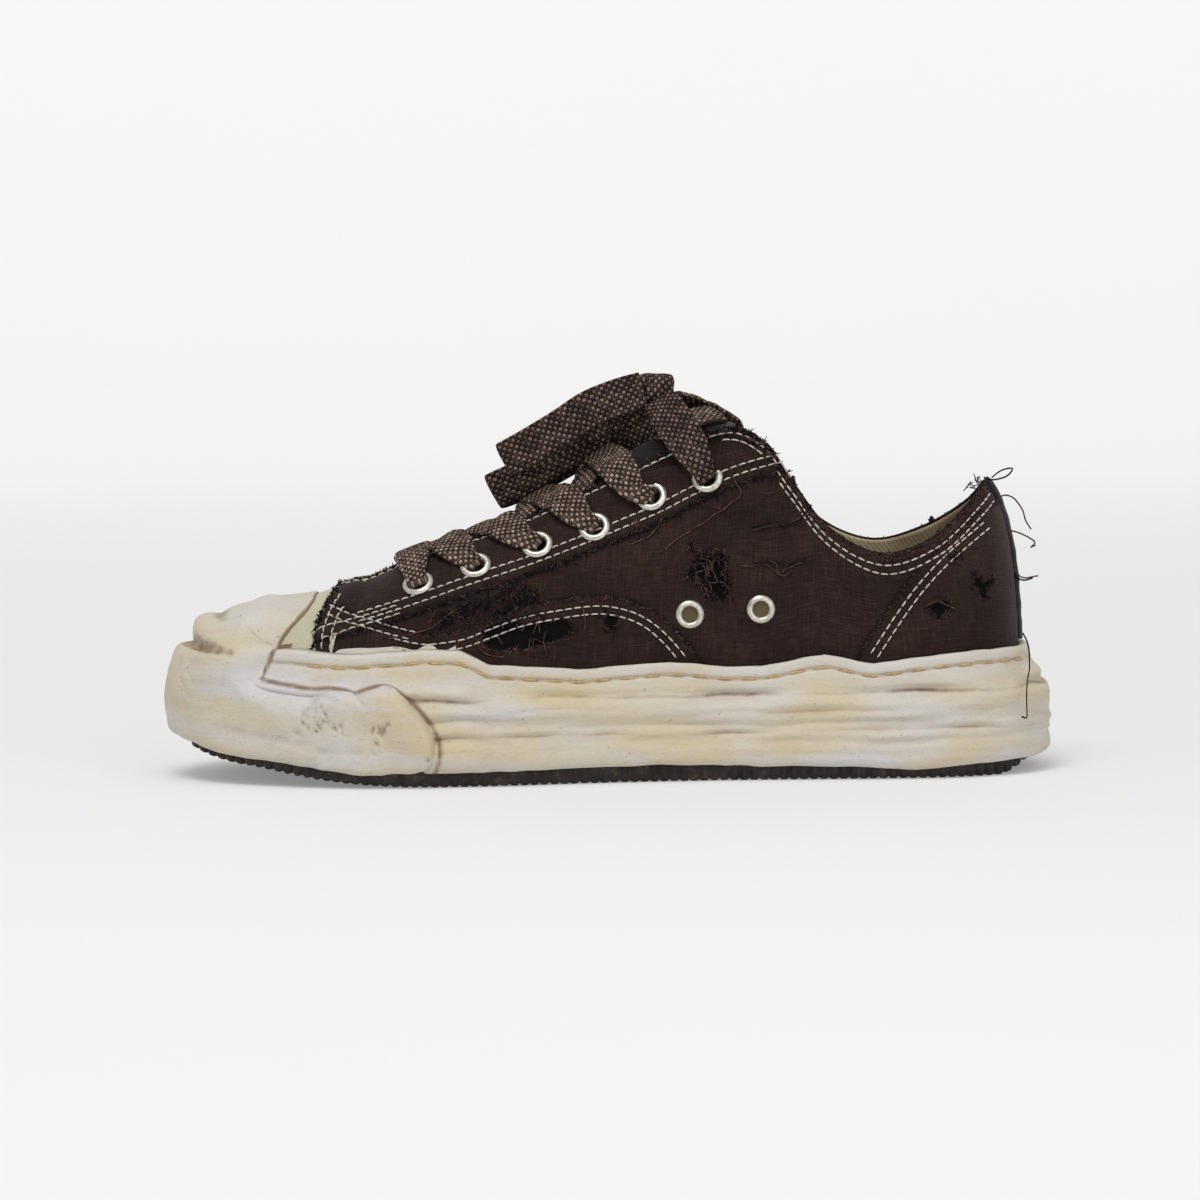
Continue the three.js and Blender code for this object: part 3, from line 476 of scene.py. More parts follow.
def ripple(points, size, seed=0, stretch=(1, 1, 1)):
    """Smooth random height between -1 and 1 at each point; size is its length in millimetres."""
    flat = (points.reshape(-1, 3) * np.array(stretch) / size + seed * 7.3).tolist()
    return np.array([noise.noise(p) for p in flat]).reshape(points.shape[:-1])


LIP_HEIGHT = [(-54, 5.2), (2, 6.0), (17, 6.3), (53, 5.1), (86, 4.7), (107, 3.2), (119, 4.3), (147, 6.4), (156, 9)]
FOXING_TOP = [
    (-150, 46.5), (-116, 47.3), (-92, 45.5), (-64, 47.3), (-52, 47.0), (-42, 42.0), (-12, 39.4),
    (21, 41.4), (40, 39.6), (53, 39.4), (75, 43.4), (92, 39.9), (115, 43), (135, 44), (146, 43.8),
]
WALL_RISE = (0, 0.07, 0.19, 0.25, 0.32, 0.42, 0.5, 0.62, 0.72, 0.86, 1)
WALL_OUT = (8.8, 9.7, 9.5, 8.6, 9.4, 8.1, 8.9, 8.5, 5.6, 4.2, 3.6)
TAIL_START, TAIL_LIP = 10.8, 10.9
UNDERSIDE = 9.3


def foxing_top(station):
    return table(FOXING_TOP, station_values(station)[..., 0])


def from_heel(station):
    return np.minimum(station, STATIONS - station)


def wall_levels(start, end, count):
    return np.linspace(start, end, count)


# edge of the pour, seen from the side (x, z), from the top of the toe to the lower lip
POUR_EDGE = [
    (-101.5, 70), (-102.5, 64), (-103.6, 61.2), (-106.5, 58), (-110.3, 54), (-113.8, 49.3), (-115.8, 43.2),
    (-117.2, 38.6), (-116.2, 36.9), (-109, 35.6), (-100.5, 34.3), (-94.8, 34.6), (-89.2, 33.9),
    (-86.5, 33.0), (-83, 34.2), (-79, 35.2), (-75, 34.9), (-71.6, 33.0), (-68.4, 30.2), (-65.2, 26.8),
    (-62.2, 22.8), (-60.0, 18.4), (-58.9, 13.6), (-59.4, 9.2), (-60.6, 5.6), (-62, 2),
]


def edge_distance(outline, x, z):
    """Distance from a closed outline seen from the side: positive inside it."""
    outline = np.asarray(outline, float)
    best, inside = np.full(np.shape(x), np.inf), np.zeros(np.shape(x), bool)
    for (ax, az), (bx, bz) in zip(outline, np.roll(outline, -1, axis=0)):
        dx, dz = bx - ax, bz - az
        share = np.clip(((x - ax) * dx + (z - az) * dz) / max(dx * dx + dz * dz, 1e-9), 0, 1)
        best = np.minimum(best, np.hypot(x - ax - share * dx, z - az - share * dz))
        if dz:
            crossed = ((az > z) != (bz > z)) & (x < ax + (z - az) * dx / dz)
            inside ^= crossed
    return np.where(inside, best, -best)


def build_midsole():
    columns = np.linspace(0, STATIONS, 901)
    rise = np.concatenate([np.linspace(0, 0.08, 8), np.linspace(0.095, 1, 70)])
    station, level = np.meshgrid(columns, rise)
    x = station_values(station)[..., 0]
    pour = np.vstack([smooth_line(POUR_EDGE, 1.0), [(-170, 2), (-170, 80)]])
    lip_share = 1 - smoothstep(from_heel(station), TAIL_START, TAIL_LIP)
    seat = outline_point(station, 8.0, 0.0)
    side = np.where(station < TOE_STATION, 0.0, 60.0)
    run = np.stack([seat[..., 0], seat[..., 1] + side, 0 * side], axis=-1)
    top = foxing_top(station) + 0.45 * ripple(run, 9, 3)
    lip = blend(sprung_point(station, 4.2, UNDERSIDE + 0.2)[..., 2], table(LIP_HEIGHT, x), lip_share)
    lip = lip + 0.35 * ripple(run, 7, 8) * lip_share
    z = blend(lip, top, level)
    bare = 1 - smoothstep(edge_distance(pour, x, z), 2.0, 6.0)
    # the profile's levels slide up and down along the wall, so the folds wander
    slide = 0.035 * ripple(run, 34, 1) + 0.012 * ripple(run, 14, 2)
    slid = np.clip(level + slide * np.sin(np.pi * np.clip(level * 1.25, 0, 1)), 0, 1)
    out = np.interp(slid, WALL_RISE, WALL_OUT)
    for _ in range(2):
        out[1:-1] = 0.25 * out[:-2] + 0.5 * out[1:-1] + 0.25 * out[2:]
    out = out + 1.5 * smoothstep(x, 120, 142) * (1 - smoothstep(level, 0.5, 0.75))
    # the crease value: partly brown grime, partly painted shade, in the folds, the stitch groove and along the pour's
    # edge
    crease_dirt_and_shade = np.zeros(out.shape)
    # folds: height over the floor at heel and toe ends, depth, width, and their own wandering
    for seed, (low, high, depth, width, sway) in enumerate((
        (30.4, 30.2, 2.2, 1.7, 1.2), (24.2, 22.6, 1.3, 1.3, 1.4), (20.4, 19.4, 0.7, 0.9, 1.2),
        (17.3, 17.0, 1.6, 1.1, 1.0), (13.2, 12.4, 0.5, 1.0, 1.4), (9.6, 8.8, 0.2, 0.8, 0.9),
        (26.8, 25.8, 0.4, 0.6, 2.0),
    )):
        height = blend(low, high, smoothstep(-x, -140, 60)) + sway * ripple(run, 30, 10 + seed)
        height = height + 0.5 * sway * ripple(run, 11, 30 + seed)
        deep = np.clip(0.55 + 1.1 * ripple(run, 24, 50 + seed), 0, 1.3) * depth
        over = (z - height) / width
        groove = deep * np.exp(-np.where(over > 0, 1.0, 0.35) * over**2)
        out = out - groove
        # painted shade and grime: a narrow dark line along the bottom of each fold
        crease_dirt_and_shade = crease_dirt_and_shade + 0.6 * deep * np.exp(-(((z - height) / (0.4 * width)) ** 2))
    surface = np.stack([seat[..., 0], seat[..., 1] + side, z], axis=-1)
    lumps = 0.5 * ripple(surface, 19, 5, (0.45, 0.45, 1.3)) + 0.12 * ripple(surface, 6, 6, (0.4, 0.4, 1))
    grain = 0.035 * ripple(surface, 2.2, 7, (0.5, 0.5, 1))
    body = np.sin(np.pi * np.clip(level * 1.02, 0, 1)) ** 0.4
    out = out + (lumps * np.where(level > 0.72, 0.45, 1.0) + grain) * body
    seam = (z - (top - 4.3)) / 0.75
    seam_share = smoothstep(-x, -143, -140) * (1 - smoothstep(-x, 113, 117))
    out = out - 0.55 * np.exp(-seam**2) * seam_share
    # painted shade and grime: the stitch groove and the pour's edge are darkened as well
    crease_dirt_and_shade = crease_dirt_and_shade + 0.8 * np.exp(-seam**2) * seam_share
    crease_dirt_and_shade = crease_dirt_and_shade + 1.6 * np.exp(-(((edge_distance(pour, x, z) + 0.1) / 0.8) ** 2))
    knob = np.exp(-(((x - 143) / 3.2) ** 2)) * smoothstep(x, 138, 143)
    plate = knob * smoothstep(z, 13, 15) * (1 - smoothstep(z, 29, 31))
    out = out + 1.1 * plate
    out = out + 3.2 * knob * np.exp(-(((z - 34.6) / 2.2) ** 2)) + 1.6 * knob * np.exp(-(((z - 30) / 3) ** 2))
    out = out - 0.9 * smoothstep(level, 0.965, 1.0) ** 2 - 0.6 * (1 - smoothstep(level, 0.0, 0.04)) ** 2
    under = np.minimum(out, 4.2 + 0.2 * level)
    out = blend(under, out, bare)
    wall = outline_point(station, out, z)
    ring = columns
    bare_ring, lip_ring = bare[0], lip_share[0]
    inner = sprung_point(ring, blend(2.6, 6.3, bare_ring), UNDERSIDE)
    edge = sprung_point(ring, blend(3.4, 6.7, bare_ring), UNDERSIDE + 0.1)
    edge[..., 2] = blend(edge[..., 2], table(LIP_HEIGHT, x[0]) + 0.3, lip_ring)
    recess = []
    for drop in (0.0, 0.12, 0.3, 0.65):
        height = blend(top[0] - 0.25, footbed_at(x[0]) - 0.3, drop)
        recess.append(over_last(ring, share_at_height(ring, height), 0.5 + 0 * ring))
    floor = [outline_point(ring, gap, footbed_at(x[0]) - 0.3) for gap in (0.5, -16.0)]
    under = [sprung_point(ring, gap, UNDERSIDE) for gap in (-16.0,)]
    rows = np.stack(under + [inner, edge] + list(wall) + recess + floor)
    full = np.zeros(rows.shape[:2])
    full[3 : 3 + len(rise)] = crease_dirt_and_shade
    band = np.zeros(rows.shape[:2])
    band[3 : 3 + len(rise)] = smoothstep(z - top, -4.0, -1.5) * (0.6 + 0.8 * ripple(run, 16, 21))
    return skin("midsole_wall", rows, wrap_columns=True, values={"crease_dirt_and_shade": full, "band": band})


rubber = Finish("cream_rubber", roughness=0.62, Specular_IOR_Level=0.35, Subsurface_Weight=0.06,
                Subsurface_Radius=(0.004, 0.003, 0.002), Subsurface_Scale=0.4)


def melted_rubber(finish):
    """Cream rubber clouded with yellow and cold grey, with brown in its creases, pits and along the pour's edge that is
    partly grime and partly painted shade.
    """
    where = finish.place()
    clouds = finish.grain(finish.place((0.6, 0.6, 1.6)), 40, detail=2.5, roughness=0.45)
    cold = finish.grain(finish.place((0.5, 0.5, 2.2)), 34, detail=2.5, roughness=0.5, distortion=0.3)
    base = finish.ramp(clouds, [(0.3, "cbc7c0"), (0.47, "c9c0ae"), (0.6, "c9bda2"), (0.74, "ccbd96")])
    base = finish.mix(finish.ramp(cold, [(0.5, 0.0), (0.68, 0.8)]), base, colour("c9c7ca"))
    tint = finish.grain(finish.place((0.6, 0.6, 2.5)), 95, detail=4, distortion=0.2)
    base = finish.mix(finish.ramp(tint, [(0.5, 0.0), (0.72, 0.4)]), base, colour("bda88c"))
    base = finish.mix(finish.math("MULTIPLY", finish.number("band"), 0.6), base, colour("cfccc8"))
    fine = finish.grain(finish.place((0.35, 0.35, 1)), 1500, detail=6, roughness=0.7)
    base = finish.mix(finish.ramp(fine, [(0.54, 0.0), (0.72, 0.34)]), base, colour("9d8b78"))
    # painted shade and grime: the crease value turns grooves, pits and the pour's edge brown
    dirt_and_shade = finish.math("MULTIPLY", finish.number("crease_dirt_and_shade"), 0.85)
    patchy = finish.grain(where, 230, detail=4)
    dirt_and_shade = finish.math("MULTIPLY", dirt_and_shade, finish.math("ADD", patchy, 0.15))
    base = finish.mix(finish.ramp(dirt_and_shade, [(0.1, 0.0), (0.8, 0.9)]), base, colour("7a6047"))
    specks = finish.grain(where, 620, detail=2)
    base = finish.mix(finish.ramp(specks, [(0.7, 0.0), (0.76, 0.5)]), base, colour("7b6248"))
    finish.set("Base Color", base)
    finish.set("Roughness", finish.ramp(clouds, [(0.3, 0.5), (0.7, 0.72)]))
    wrinkle = finish.grain(finish.place((0.3, 0.3, 1)), 820, detail=5, roughness=0.65)
    coarse = finish.bump(finish.grain(where, 160, detail=3), 0.0007, 0.5)
    finish.set("Normal", finish.bump(wrinkle, 0.00035, 0.65, under=coarse))


melted_rubber(rubber)
midsole = build_midsole()
rubber.put_on(midsole)
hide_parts("midsole")

# The sidewall stitching: one tan thread, a stitch every 8.5 mm, lying in its own groove.


def threads(name, lines, radius, rounds=1):
    """Many thin threads in one piece; each is a line with the share of full radius at each point."""
    curve = bpy.data.curves.new(name, "CURVE")
    curve.dimensions = "3D"
    curve.bevel_depth = radius / 1000
    curve.bevel_resolution = rounds
    curve.use_fill_caps = True
    for line, girth in lines:
        spline = curve.splines.new("POLY")
        spline.points.add(len(line) - 1)
        seats = metres(line)
        spline.points.foreach_set("co", np.column_stack([seats, np.ones(len(seats))]).ravel())
        spline.points.foreach_set("radius", np.broadcast_to(girth, len(line)).astype(float))
    thread = bpy.data.objects.new(name, curve)
    scene.collection.objects.link(thread)
    bpy.context.view_layer.update()
    shape = bpy.data.meshes.new_from_object(thread)
    bpy.data.objects.remove(thread)
    bpy.data.curves.remove(curve)
    shape.name = name
    for face in shape.polygons:
        face.use_smooth = True
    piece = bpy.data.objects.new(name, shape)
    scene.collection.objects.link(piece)
    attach(piece, "root")
    return piece


def stitches(path, pitch, length, sink=0.35):
    """Stitches along a path: each rises from the cloth, runs over it and goes down again."""
    line = smooth_line(path[:, :3], 0.25)
    out = np.array([np.interp(np.linspace(0, 1, len(line)), np.linspace(0, 1, len(path)), path[:, 3 + k])
                    for k in range(3)]).T
    step = max(1, round(pitch / 0.25))
    long = max(3, round(length / 0.25))
    made = []
    for start in range(0, len(line) - long, step):
        at = start + np.linspace(0, long, 5).round().astype(int)
        rise = np.array([-sink, 0.1, 0.16, 0.1, -sink])[:, None]
        made.append((line[at] + out[at] * rise, np.array([0.5, 0.95, 1.0, 0.95, 0.5])))
    return made


wall_rows = []
for side, (first, last) in enumerate(((0.35, 12.35), (15.65, 27.65))):
    run = np.linspace(first, last, 260)
    level = foxing_top(run) - 4.3
    x = station_values(run)[..., 0]
    shape_rise = (level - table(LIP_HEIGHT, x)) / (foxing_top(run) - table(LIP_HEIGHT, x))
    spot = outline_point(run, np.interp(shape_rise, WALL_RISE, WALL_OUT) - 0.25, level)
    away = unit(outline_point(run, 10, level) - outline_point(run, 0, level))
    wall_rows += stitches(np.hstack([spot - 0.15 * away, away]), 8.6, 8.0, sink=0.8)
wall_thread = threads("sidewall_stitching", wall_rows, 0.46)
tan_thread = Finish("tan_thread", roughness=0.75, Sheen_Weight=0.2)
tan_thread.set("Base Color", tan_thread.ramp(tan_thread.grain(tan_thread.place(), 420), [(0.35, "a8875a"), (0.6, "c9ab78"), (0.8, "8c6c45")]))
tan_thread.set("Normal", tan_thread.bump(tan_thread.grain(tan_thread.place(), 2600), 0.0002))
tan_thread.put_on(wall_thread)

# ---------- outsole ----------
# Dark moulded rubber plate with cross ribs whose ends show as rounded teeth under the wall's
# lip. It springs up at the toe and is worn round at the back of the heel.
RIB_PITCH = 6.91


def build_outsole():
    columns = np.linspace(0, STATIONS, 1251)
    x = station_values(columns)[..., 0]
    edge = 5.8 + 1.6 * smoothstep(-x, 60, 110)
    line = outline_point(columns, edge, 0.0)
    wave = np.cos(2 * np.pi * line[..., 0] / RIB_PITCH)
    tooth = 1 - np.abs(np.arccos(np.clip(wave, -1, 1)) / np.pi * 2 - 1)
    low = spring_at(line[..., 0]) + 5.3 * smoothstep(line[..., 0], 137, 151)
    low = low - 2.0 * smoothstep(-line[..., 0], 116, 144)
    end = smoothstep(-line[..., 0], 95, 115) + smoothstep(line[..., 0], 118, 132)
    notch = (0.8 + 3.0 * end) * (1 - np.clip(1.6 * tooth, 0, 1)) ** 1.5 + 0.15 * ripple(line, 5, 41)
    notch = np.clip(notch, 0, None)
    top = 9.0 + spring_at(line[..., 0])
    rows = []
    for gap, lift, out in ((-26, 0.15, 0), (-9, 0.15, 0), (-3.2, 0.15, 0), (-1.2, 0.0, 0.0), (-0.35, 0.05, 0.5),
                           (0.0, 0.22, 1.0), (0.15, 0.5, 0.9), (0.1, 0.8, 0.55), (0.0, 1.0, 0.3)):
        reach = edge + gap + out * (tooth * 1.1 - 0.7)
        height = blend(low + notch, top, lift if gap > -3.2 else 0)
        height = height + (0.9 if gap <= -3.2 else 0) * (1 - np.clip(1.8 * tooth, 0, 1))
        rows.append(outline_point(columns, reach, height))
    for gap in (-9, -26):
        rows.append(outline_point(columns, edge + gap, top))
    return skin("tread_plate", np.stack(rows), wrap_columns=True)


outsole = build_outsole()
tread = Finish("tread_rubber", roughness=0.62, Specular_IOR_Level=0.45)
where = tread.place()
shade = tread.ramp(tread.grain(where, 260, detail=5), [(0.3, "140f0d"), (0.55, "2a201b"), (0.8, "54443a")])
tread.set("Base Color", shade)
tread.set("Roughness", tread.ramp(tread.grain(where, 120), [(0.3, 0.45), (0.7, 0.8)]))
tread.set("Normal", tread.bump(tread.grain(where, 700, detail=5), 0.0005, 0.6))
tread.put_on(outsole)
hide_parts("outsole")

# ---------- toe bumper ----------
# Second pour of the same rubber over the front of the wall and the toe: a rounded nose, a
# lump over it and two tails along the sides, worn through to small pits on the medial side.
BUMPER_LIP = [(-141, 15.4), (-137, 14.2), (-126, 10.8), (-98, 6.6), (-78, 4.2), (-67, 5.4), (-60, 8.2)]
LUMPS = ((0.42, 11.6, 9.8), (0.52, 9.6, 8.3), (0.64, 6.2, 6.0), (0.78, 3.8, 3.2), (0.9, 1.7, 1.7))

def build_bumper():
    columns = np.linspace(10.45, 2 * TOE_STATION - 10.45, 361)
    x = station_values(columns)[..., 0]
    lip, toe = table(BUMPER_LIP, x), smoothstep(-x, 118, 140)
    body = blend(11.2, 15, toe)
    tread_edge = 6.3 + 1.6 * smoothstep(-x, 60, 110)
    top = 49.0
    rows = [
        outline_point(columns, tread_edge, lip + 0.9), outline_point(columns, body - 2.6, lip + 0.1),
        outline_point(columns, body - 0.8, lip + 0.9), outline_point(columns, body, lip + 3.4),
        outline_point(columns, body + 0.3, blend(lip, top, 0.3)),
        outline_point(columns, body, blend(lip, top, 0.55)),
        outline_point(columns, body - 0.6 - 0.7 * toe, blend(lip, top, 0.75)),
        outline_point(columns, body - 1.8 - 2.0 * toe, blend(lip, top, 0.9)),
        outline_point(columns, body - 4.2 - 3.4 * toe, top - 0.6),
    ]
    rows += [over_last(columns, share + 0 * columns, blend(side, nose, toe)) for share, nose, side in LUMPS]
    rows.append(over_last(columns, 0.955 + 0 * columns, 1.2 + 0 * columns))
    control = np.stack(rows)
    share = np.linspace(0, len(rows) - 1, 121)
    k = np.minimum(share.astype(int), len(rows) - 2)
    f = (share - k)[:, None, None]
    a, b, c, d = control[np.maximum(k - 1, 0)], control[k], control[k + 1], control[np.minimum(k + 2, len(rows) - 1)]
    outer = 0.5 * (2 * b + (c - a) * f + (2 * a - 5 * b + 4 * c - d) * f**2 + (3 * b - a - 3 * c + d) * f**3)
    up, ahead = np.gradient(outer, axis=0), np.gradient(outer, axis=1)
    normal = unit(np.cross(up, ahead))
    x, z = outer[..., 0], outer[..., 2]
    height = 0.9 * ripple(outer, 16, 1) + 0.35 * ripple(outer, 6, 2) + 0.06 * ripple(outer, 1.8, 3)
    front = smoothstep(-x, 112, 130)
    crease_dirt_and_shade = np.zeros(x.shape)
    # troughs on the pour: start, end, depth, width
    for start, end, depth, width in (
        ((-153, 49.2), (-131.5, 46.0), 3.4, 1.5), ((-139.5, 60), (-135.5, 57.0), 3.2, 2.2),
        ((-104, 33.2), (-90, 30.6), 0.6, 1.4), ((-88, 33), (-83, 28.5), 0.7, 1.0),
        ((-125, 53.5), (-117, 47.5), 0.5, 0.5), ((-121.5, 52), (-116.5, 44.5), 0.45, 0.45),
        ((-119, 43.2), (-117, 38.4), 0.5, 0.5), ((-128, 55.5), (-119, 50.5), 0.35, 0.45),
        ((-133, 20), (-98, 14.5), 0.5, 2.0), ((-100, 13.5), (-70, 12.5), 0.45, 1.6),
        ((-150, 36), (-146, 28), 0.4, 0.5), ((-147.5, 39), (-143, 30), 0.35, 0.5),
    ):
        (ax, az), (bx, bz) = start, end
        part = np.clip(((x - ax) * (bx - ax) + (z - az) * (bz - az)) / ((bx - ax) ** 2 + (bz - az) ** 2), 0, 1)
        far = np.hypot(x - ax - part * (bx - ax), z - az - part * (bz - az))
        fade = 1 - 0.75 * smoothstep(part, 0.55, 1.0)
        trough = depth * fade * np.exp(-((far / width) ** 2)) * (0.75 + 0.5 * ripple(outer, 4, 9))
        # painted shade and grime: each trough is darkened as deep as it is sunk
        height, crease_dirt_and_shade = height - trough, crease_dirt_and_shade + np.clip(trough, 0, 1)
    # swellings: the nose and the lump over it, the tail's end and the lip's roll
    for cx, cz, rise, wide in (
        (-143.5, 53.5, 3.4, 4.2), (-138, 52, 1.2, 4), (-120, 61, 1.6, 6), (-129, 40, 0.9, 9),
        (-76, 29, 1.8, 8), (-100, 27, 1.3, 9), (-134, 16, 0.6, 8), (-66, 13, 1.6, 7), (-68, 22, 1.4, 6),
    ):
        height = height + rise * np.exp(-(((x - cx) ** 2 + (z - cz) ** 2) / wide**2))
    # pits worn into the medial face
    chance = random.Random(5)
    for cx, cz, spread_x, spread_z, count in ((-102, 22.5, 9, 5, 26), (-79.5, 20.5, 5, 3.6, 13), (-62.5, 10.5, 0.6, 0.6, 1)):
        for _ in range(count):
            px, pz = chance.gauss(cx, spread_x / 1.9), chance.gauss(cz, spread_z / 1.9)
            size = chance.uniform(0.4, 0.95)
            ragged = 0.5 * ripple(outer, 1.4, 14)
            pit = np.exp(-((((x - px) / size) ** 2 + ((z - pz) / (0.8 * size)) ** 2) + ragged).clip(0) ** 1.5)
            pit = np.where(outer[..., 1] < 0, pit, 0)
            # painted shade and grime: each pit is darkened too
            height, crease_dirt_and_shade = height - 1.2 * pit, np.maximum(crease_dirt_and_shade, 0.75 * pit)
    edge = smooth_line(POUR_EDGE, 1.0)
    outline = np.vstack([edge, [(-170, 2), (-170, 80)]])
    # past its edge the pour's sheet sinks out of sight, into the wall or under the toe cap
    wall_top = foxing_top(columns) - 5
    sunk = [outline_point(columns, 2.2, np.minimum(row[..., 2], wall_top)) for row in rows[:6]]
    for level in (wall_top + 2, wall_top + 5, wall_top + 7):
        sunk.append(over_last(columns, share_at_height(columns, level), -0.9 + 0 * columns))
    sunk += [over_last(columns, spot + 0 * columns, -0.9 + 0 * columns) for spot, _, _ in LUMPS]
    sunk.append(over_last(columns, 0.955 + 0 * columns, -0.9 + 0 * columns))
    sunk_rows = sunk[:9]
    sunk = np.stack(sunk)
    sunk = blend(sunk[k], sunk[k + 1], f)
    sheet = [blend(low, high, 0.6) for low, high in zip(sunk_rows, rows[:9])]
    sheet += [over_last(columns, spot + 0 * columns, 2.1 + 0 * columns) for spot, _, _ in LUMPS]
    sheet = np.stack(sheet + [rows[-1]])
    sheet = blend(sheet[k], sheet[k + 1], f)
    over_cap = smoothstep(-x, 99, 104)
    place = blend(outer, sheet, over_cap[..., None])
    inside = edge_distance(outline, place[..., 0], place[..., 2]) + 0.3 * ripple(outer, 5, 12)
    round_off = np.sqrt(np.clip(1 - (1 - np.clip(inside / (3.4 - 1.6 * over_cap), 0, 1)) ** 2, 0, 1))
    height = height * smoothstep(inside, 0, 3)
    # the pour thins out towards its edge over the toe cap
    thin = 1 - smoothstep(inside, 0, 10)
    thin = (thin * over_cap)[..., None]
    full_pour = blend(outer + normal * height[..., None], sheet, thin)
    moved = blend(sunk, full_pour, round_off[..., None])
    # painted shade and grime: a dark line along the pour's edge
    crease_dirt_and_shade = np.maximum(crease_dirt_and_shade, 2.6 * np.clip(1 - (inside - 0.1 - 0.5 * over_cap) / 0.7, 0, 1))
    inner = [
        over_last(columns, 0.955 + 0 * columns, -1.0 + 0 * columns),
        over_last(columns, 0.6 + 0 * columns, -1.0 + 0 * columns),
        outline_point(columns, 1.5, 38.0), outline_point(columns, 1.5, lip + 6), outline_point(columns, 3.0, lip + 2),
    ]
    rows = np.concatenate([moved, np.stack(inner), moved[:1]])
    full = np.zeros(rows.shape[:2])
    full[: len(crease_dirt_and_shade)] = crease_dirt_and_shade
    return skin("bumper_pour", rows, wrap_rows=True, values={"crease_dirt_and_shade": full})


bumper = build_bumper()
bumper_rubber = Finish("bumper_rubber", roughness=0.6, Specular_IOR_Level=0.35, Subsurface_Weight=0.06,
                       Subsurface_Radius=(0.004, 0.003, 0.002), Subsurface_Scale=0.4)
melted_rubber(bumper_rubber)
bumper_rubber.put_on(bumper)
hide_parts("toe_bumper")

# ---------- toe cap ----------
# Smooth greenish-beige rubber cap over the toe, between the pour and the canvas.
def build_cap():
    columns = np.linspace(11.9, 2 * TOE_STATION - 11.9, 181)
    low = share_at_height(columns, foxing_top(columns) - 1.5)
    share = low + np.linspace(0, 1, 41)[:, None] * (0.955 - low)
    station = np.broadcast_to(columns, share.shape)
    outer = over_last(station, share, 1.0 + 0 * share)
    outer = outer + last_normal(station, share) * (0.12 * ripple(outer, 9, 21))[..., None]
    inner = over_last(station, share, 0.2 + 0 * share)[::-1]
    rows = np.concatenate([outer, inner, outer[:1]])
    return skin("cap_shell", rows, wrap_rows=True)


cap = build_cap()
cap_finish = Finish("cap_rubber", roughness=0.5, Specular_IOR_Level=0.4)
where = cap_finish.place()
shade = cap_finish.ramp(cap_finish.grain(where, 60, detail=3), [(0.35, "b9b69d"), (0.6, "c3bd9f"), (0.8, "cdc39b")])
shade = cap_finish.mix(cap_finish.ramp(cap_finish.grain(where, 900, detail=5), [(0.55, 0.0), (0.75, 0.35)]), shade, colour("8f8467"))
cap_finish.set("Base Color", shade)
cap_finish.set("Normal", cap_finish.bump(cap_finish.grain(where, 1300, detail=5), 0.0002, 0.5))
cap_finish.put_on(cap)
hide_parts("toe_cap")

# ---------- canvas upper ----------
# Dark brown heathered canvas, cut in panels that lie over each other with raw edges: the
# quarter below, then the front and heel overlays and the lace stays, each a little prouder.
# Outlines of the panels and of the damage are given as seen from the side (x, z).
STAY_LOWER = [
    (-104, 47.5), (-98, 50.3), (-86, 53.9), (-74, 57.5), (-62, 61.3), (-50, 65.4), (-37, 69.5), (-24, 73.7),
    (-12, 78.1), (-2, 82.0), (8, 86.0), (19, 90.6), (31, 96.6), (44, 102.6), (57, 106.6), (66, 108.4),
]
FRONT_UPPER = [
    (-104, 58), (-93, 58.5), (-84, 56.0), (-74, 53.2), (-64, 51.3), (-52, 52.5), (-43, 55.5), (-31, 59.6),
    (-17, 62.1), (-3, 63.4), (8, 61.4), (16, 57.4), (23, 51.2), (29, 44.0), (33, 38),
]
HEEL_UPPER = [
    (85, 36), (89, 44.5), (93, 50.5), (98.5, 58.5), (105, 67), (112, 74.5), (119, 80.6), (126, 86), (131, 89.6), (150, 99),
]
FRONT_EDGE = [(-101.5, 40), (-101.2, 46.5), (-100.7, 51), (-99.5, 55), (-97.4, 60), (-94.3, 64.5), (-90.5, 70), (-90, 80)]
OVAL_HOLE = [
    (-44.2, 50.3), (-42.6, 53), (-38, 55.6), (-33, 55.4), (-27, 55.6), (-20.8, 56.4), (-14.8, 56.2), (-12.6, 53.4),
    (-15.6, 50.2), (-21, 48.4), (-27.5, 46.8), (-33, 46.6), (-38.2, 46.3), (-42.4, 47.6),
]
STAR_TEAR = [
    (28.2, 82.0), (31.6, 77.8), (33.5, 79.2), (36.6, 76.6), (40.4, 78.4), (39.6, 72.6), (42.2, 68.2), (40.4, 62.2),
    (36.4, 64.0), (33.2, 63.8), (34.0, 68.2), (30.6, 69.8), (27.4, 71.2), (30.6, 73.6), (31.8, 76.4),
]
SMALL_TEARS = [
    [(-2.2, 56.8), (0.2, 58.4), (3.6, 57.2), (2.4, 53.6), (1.2, 50.2), (-0.6, 53.4)],
    [(111.5, 60.0), (115.2, 61.6), (119.4, 60.6), (117.6, 57.6), (114.8, 54.2), (113.2, 57.0)],
    [(128.4, 70.4), (131.0, 66.6), (134.0, 68.2), (132.2, 63.6), (131.2, 59.8), (129.4, 63.6), (127.2, 66.0)],
    [(118.6, 75.8), (123.2, 77.6), (121.4, 73.6)],
]


EYELETS = [(-66, 68.5), (-46, 74.5), (-24.5, 81.5), (-4.5, 87.5), (15.5, 98), (35, 104.5)]
VENTS = [(28.3, 57.5), (53, 59)]


def find_on_last(x, z, lateral):
    """Stations and shares of the last where its side shows at x and z."""
    x, z = np.broadcast_arrays(np.asarray(x, float), np.asarray(z, float))
    station = np.interp(x, LAST[14::-1, 0], np.arange(14, -1, -1))
    station = STATIONS - station if lateral else station
    for _ in range(26):
        share = share_at_height(station, z)
        off = (x - last_point(station, share)[..., 0]) * (1 if lateral else -1)
        station = station + np.clip(0.028 * off, -0.6, 0.6)
    return station, share


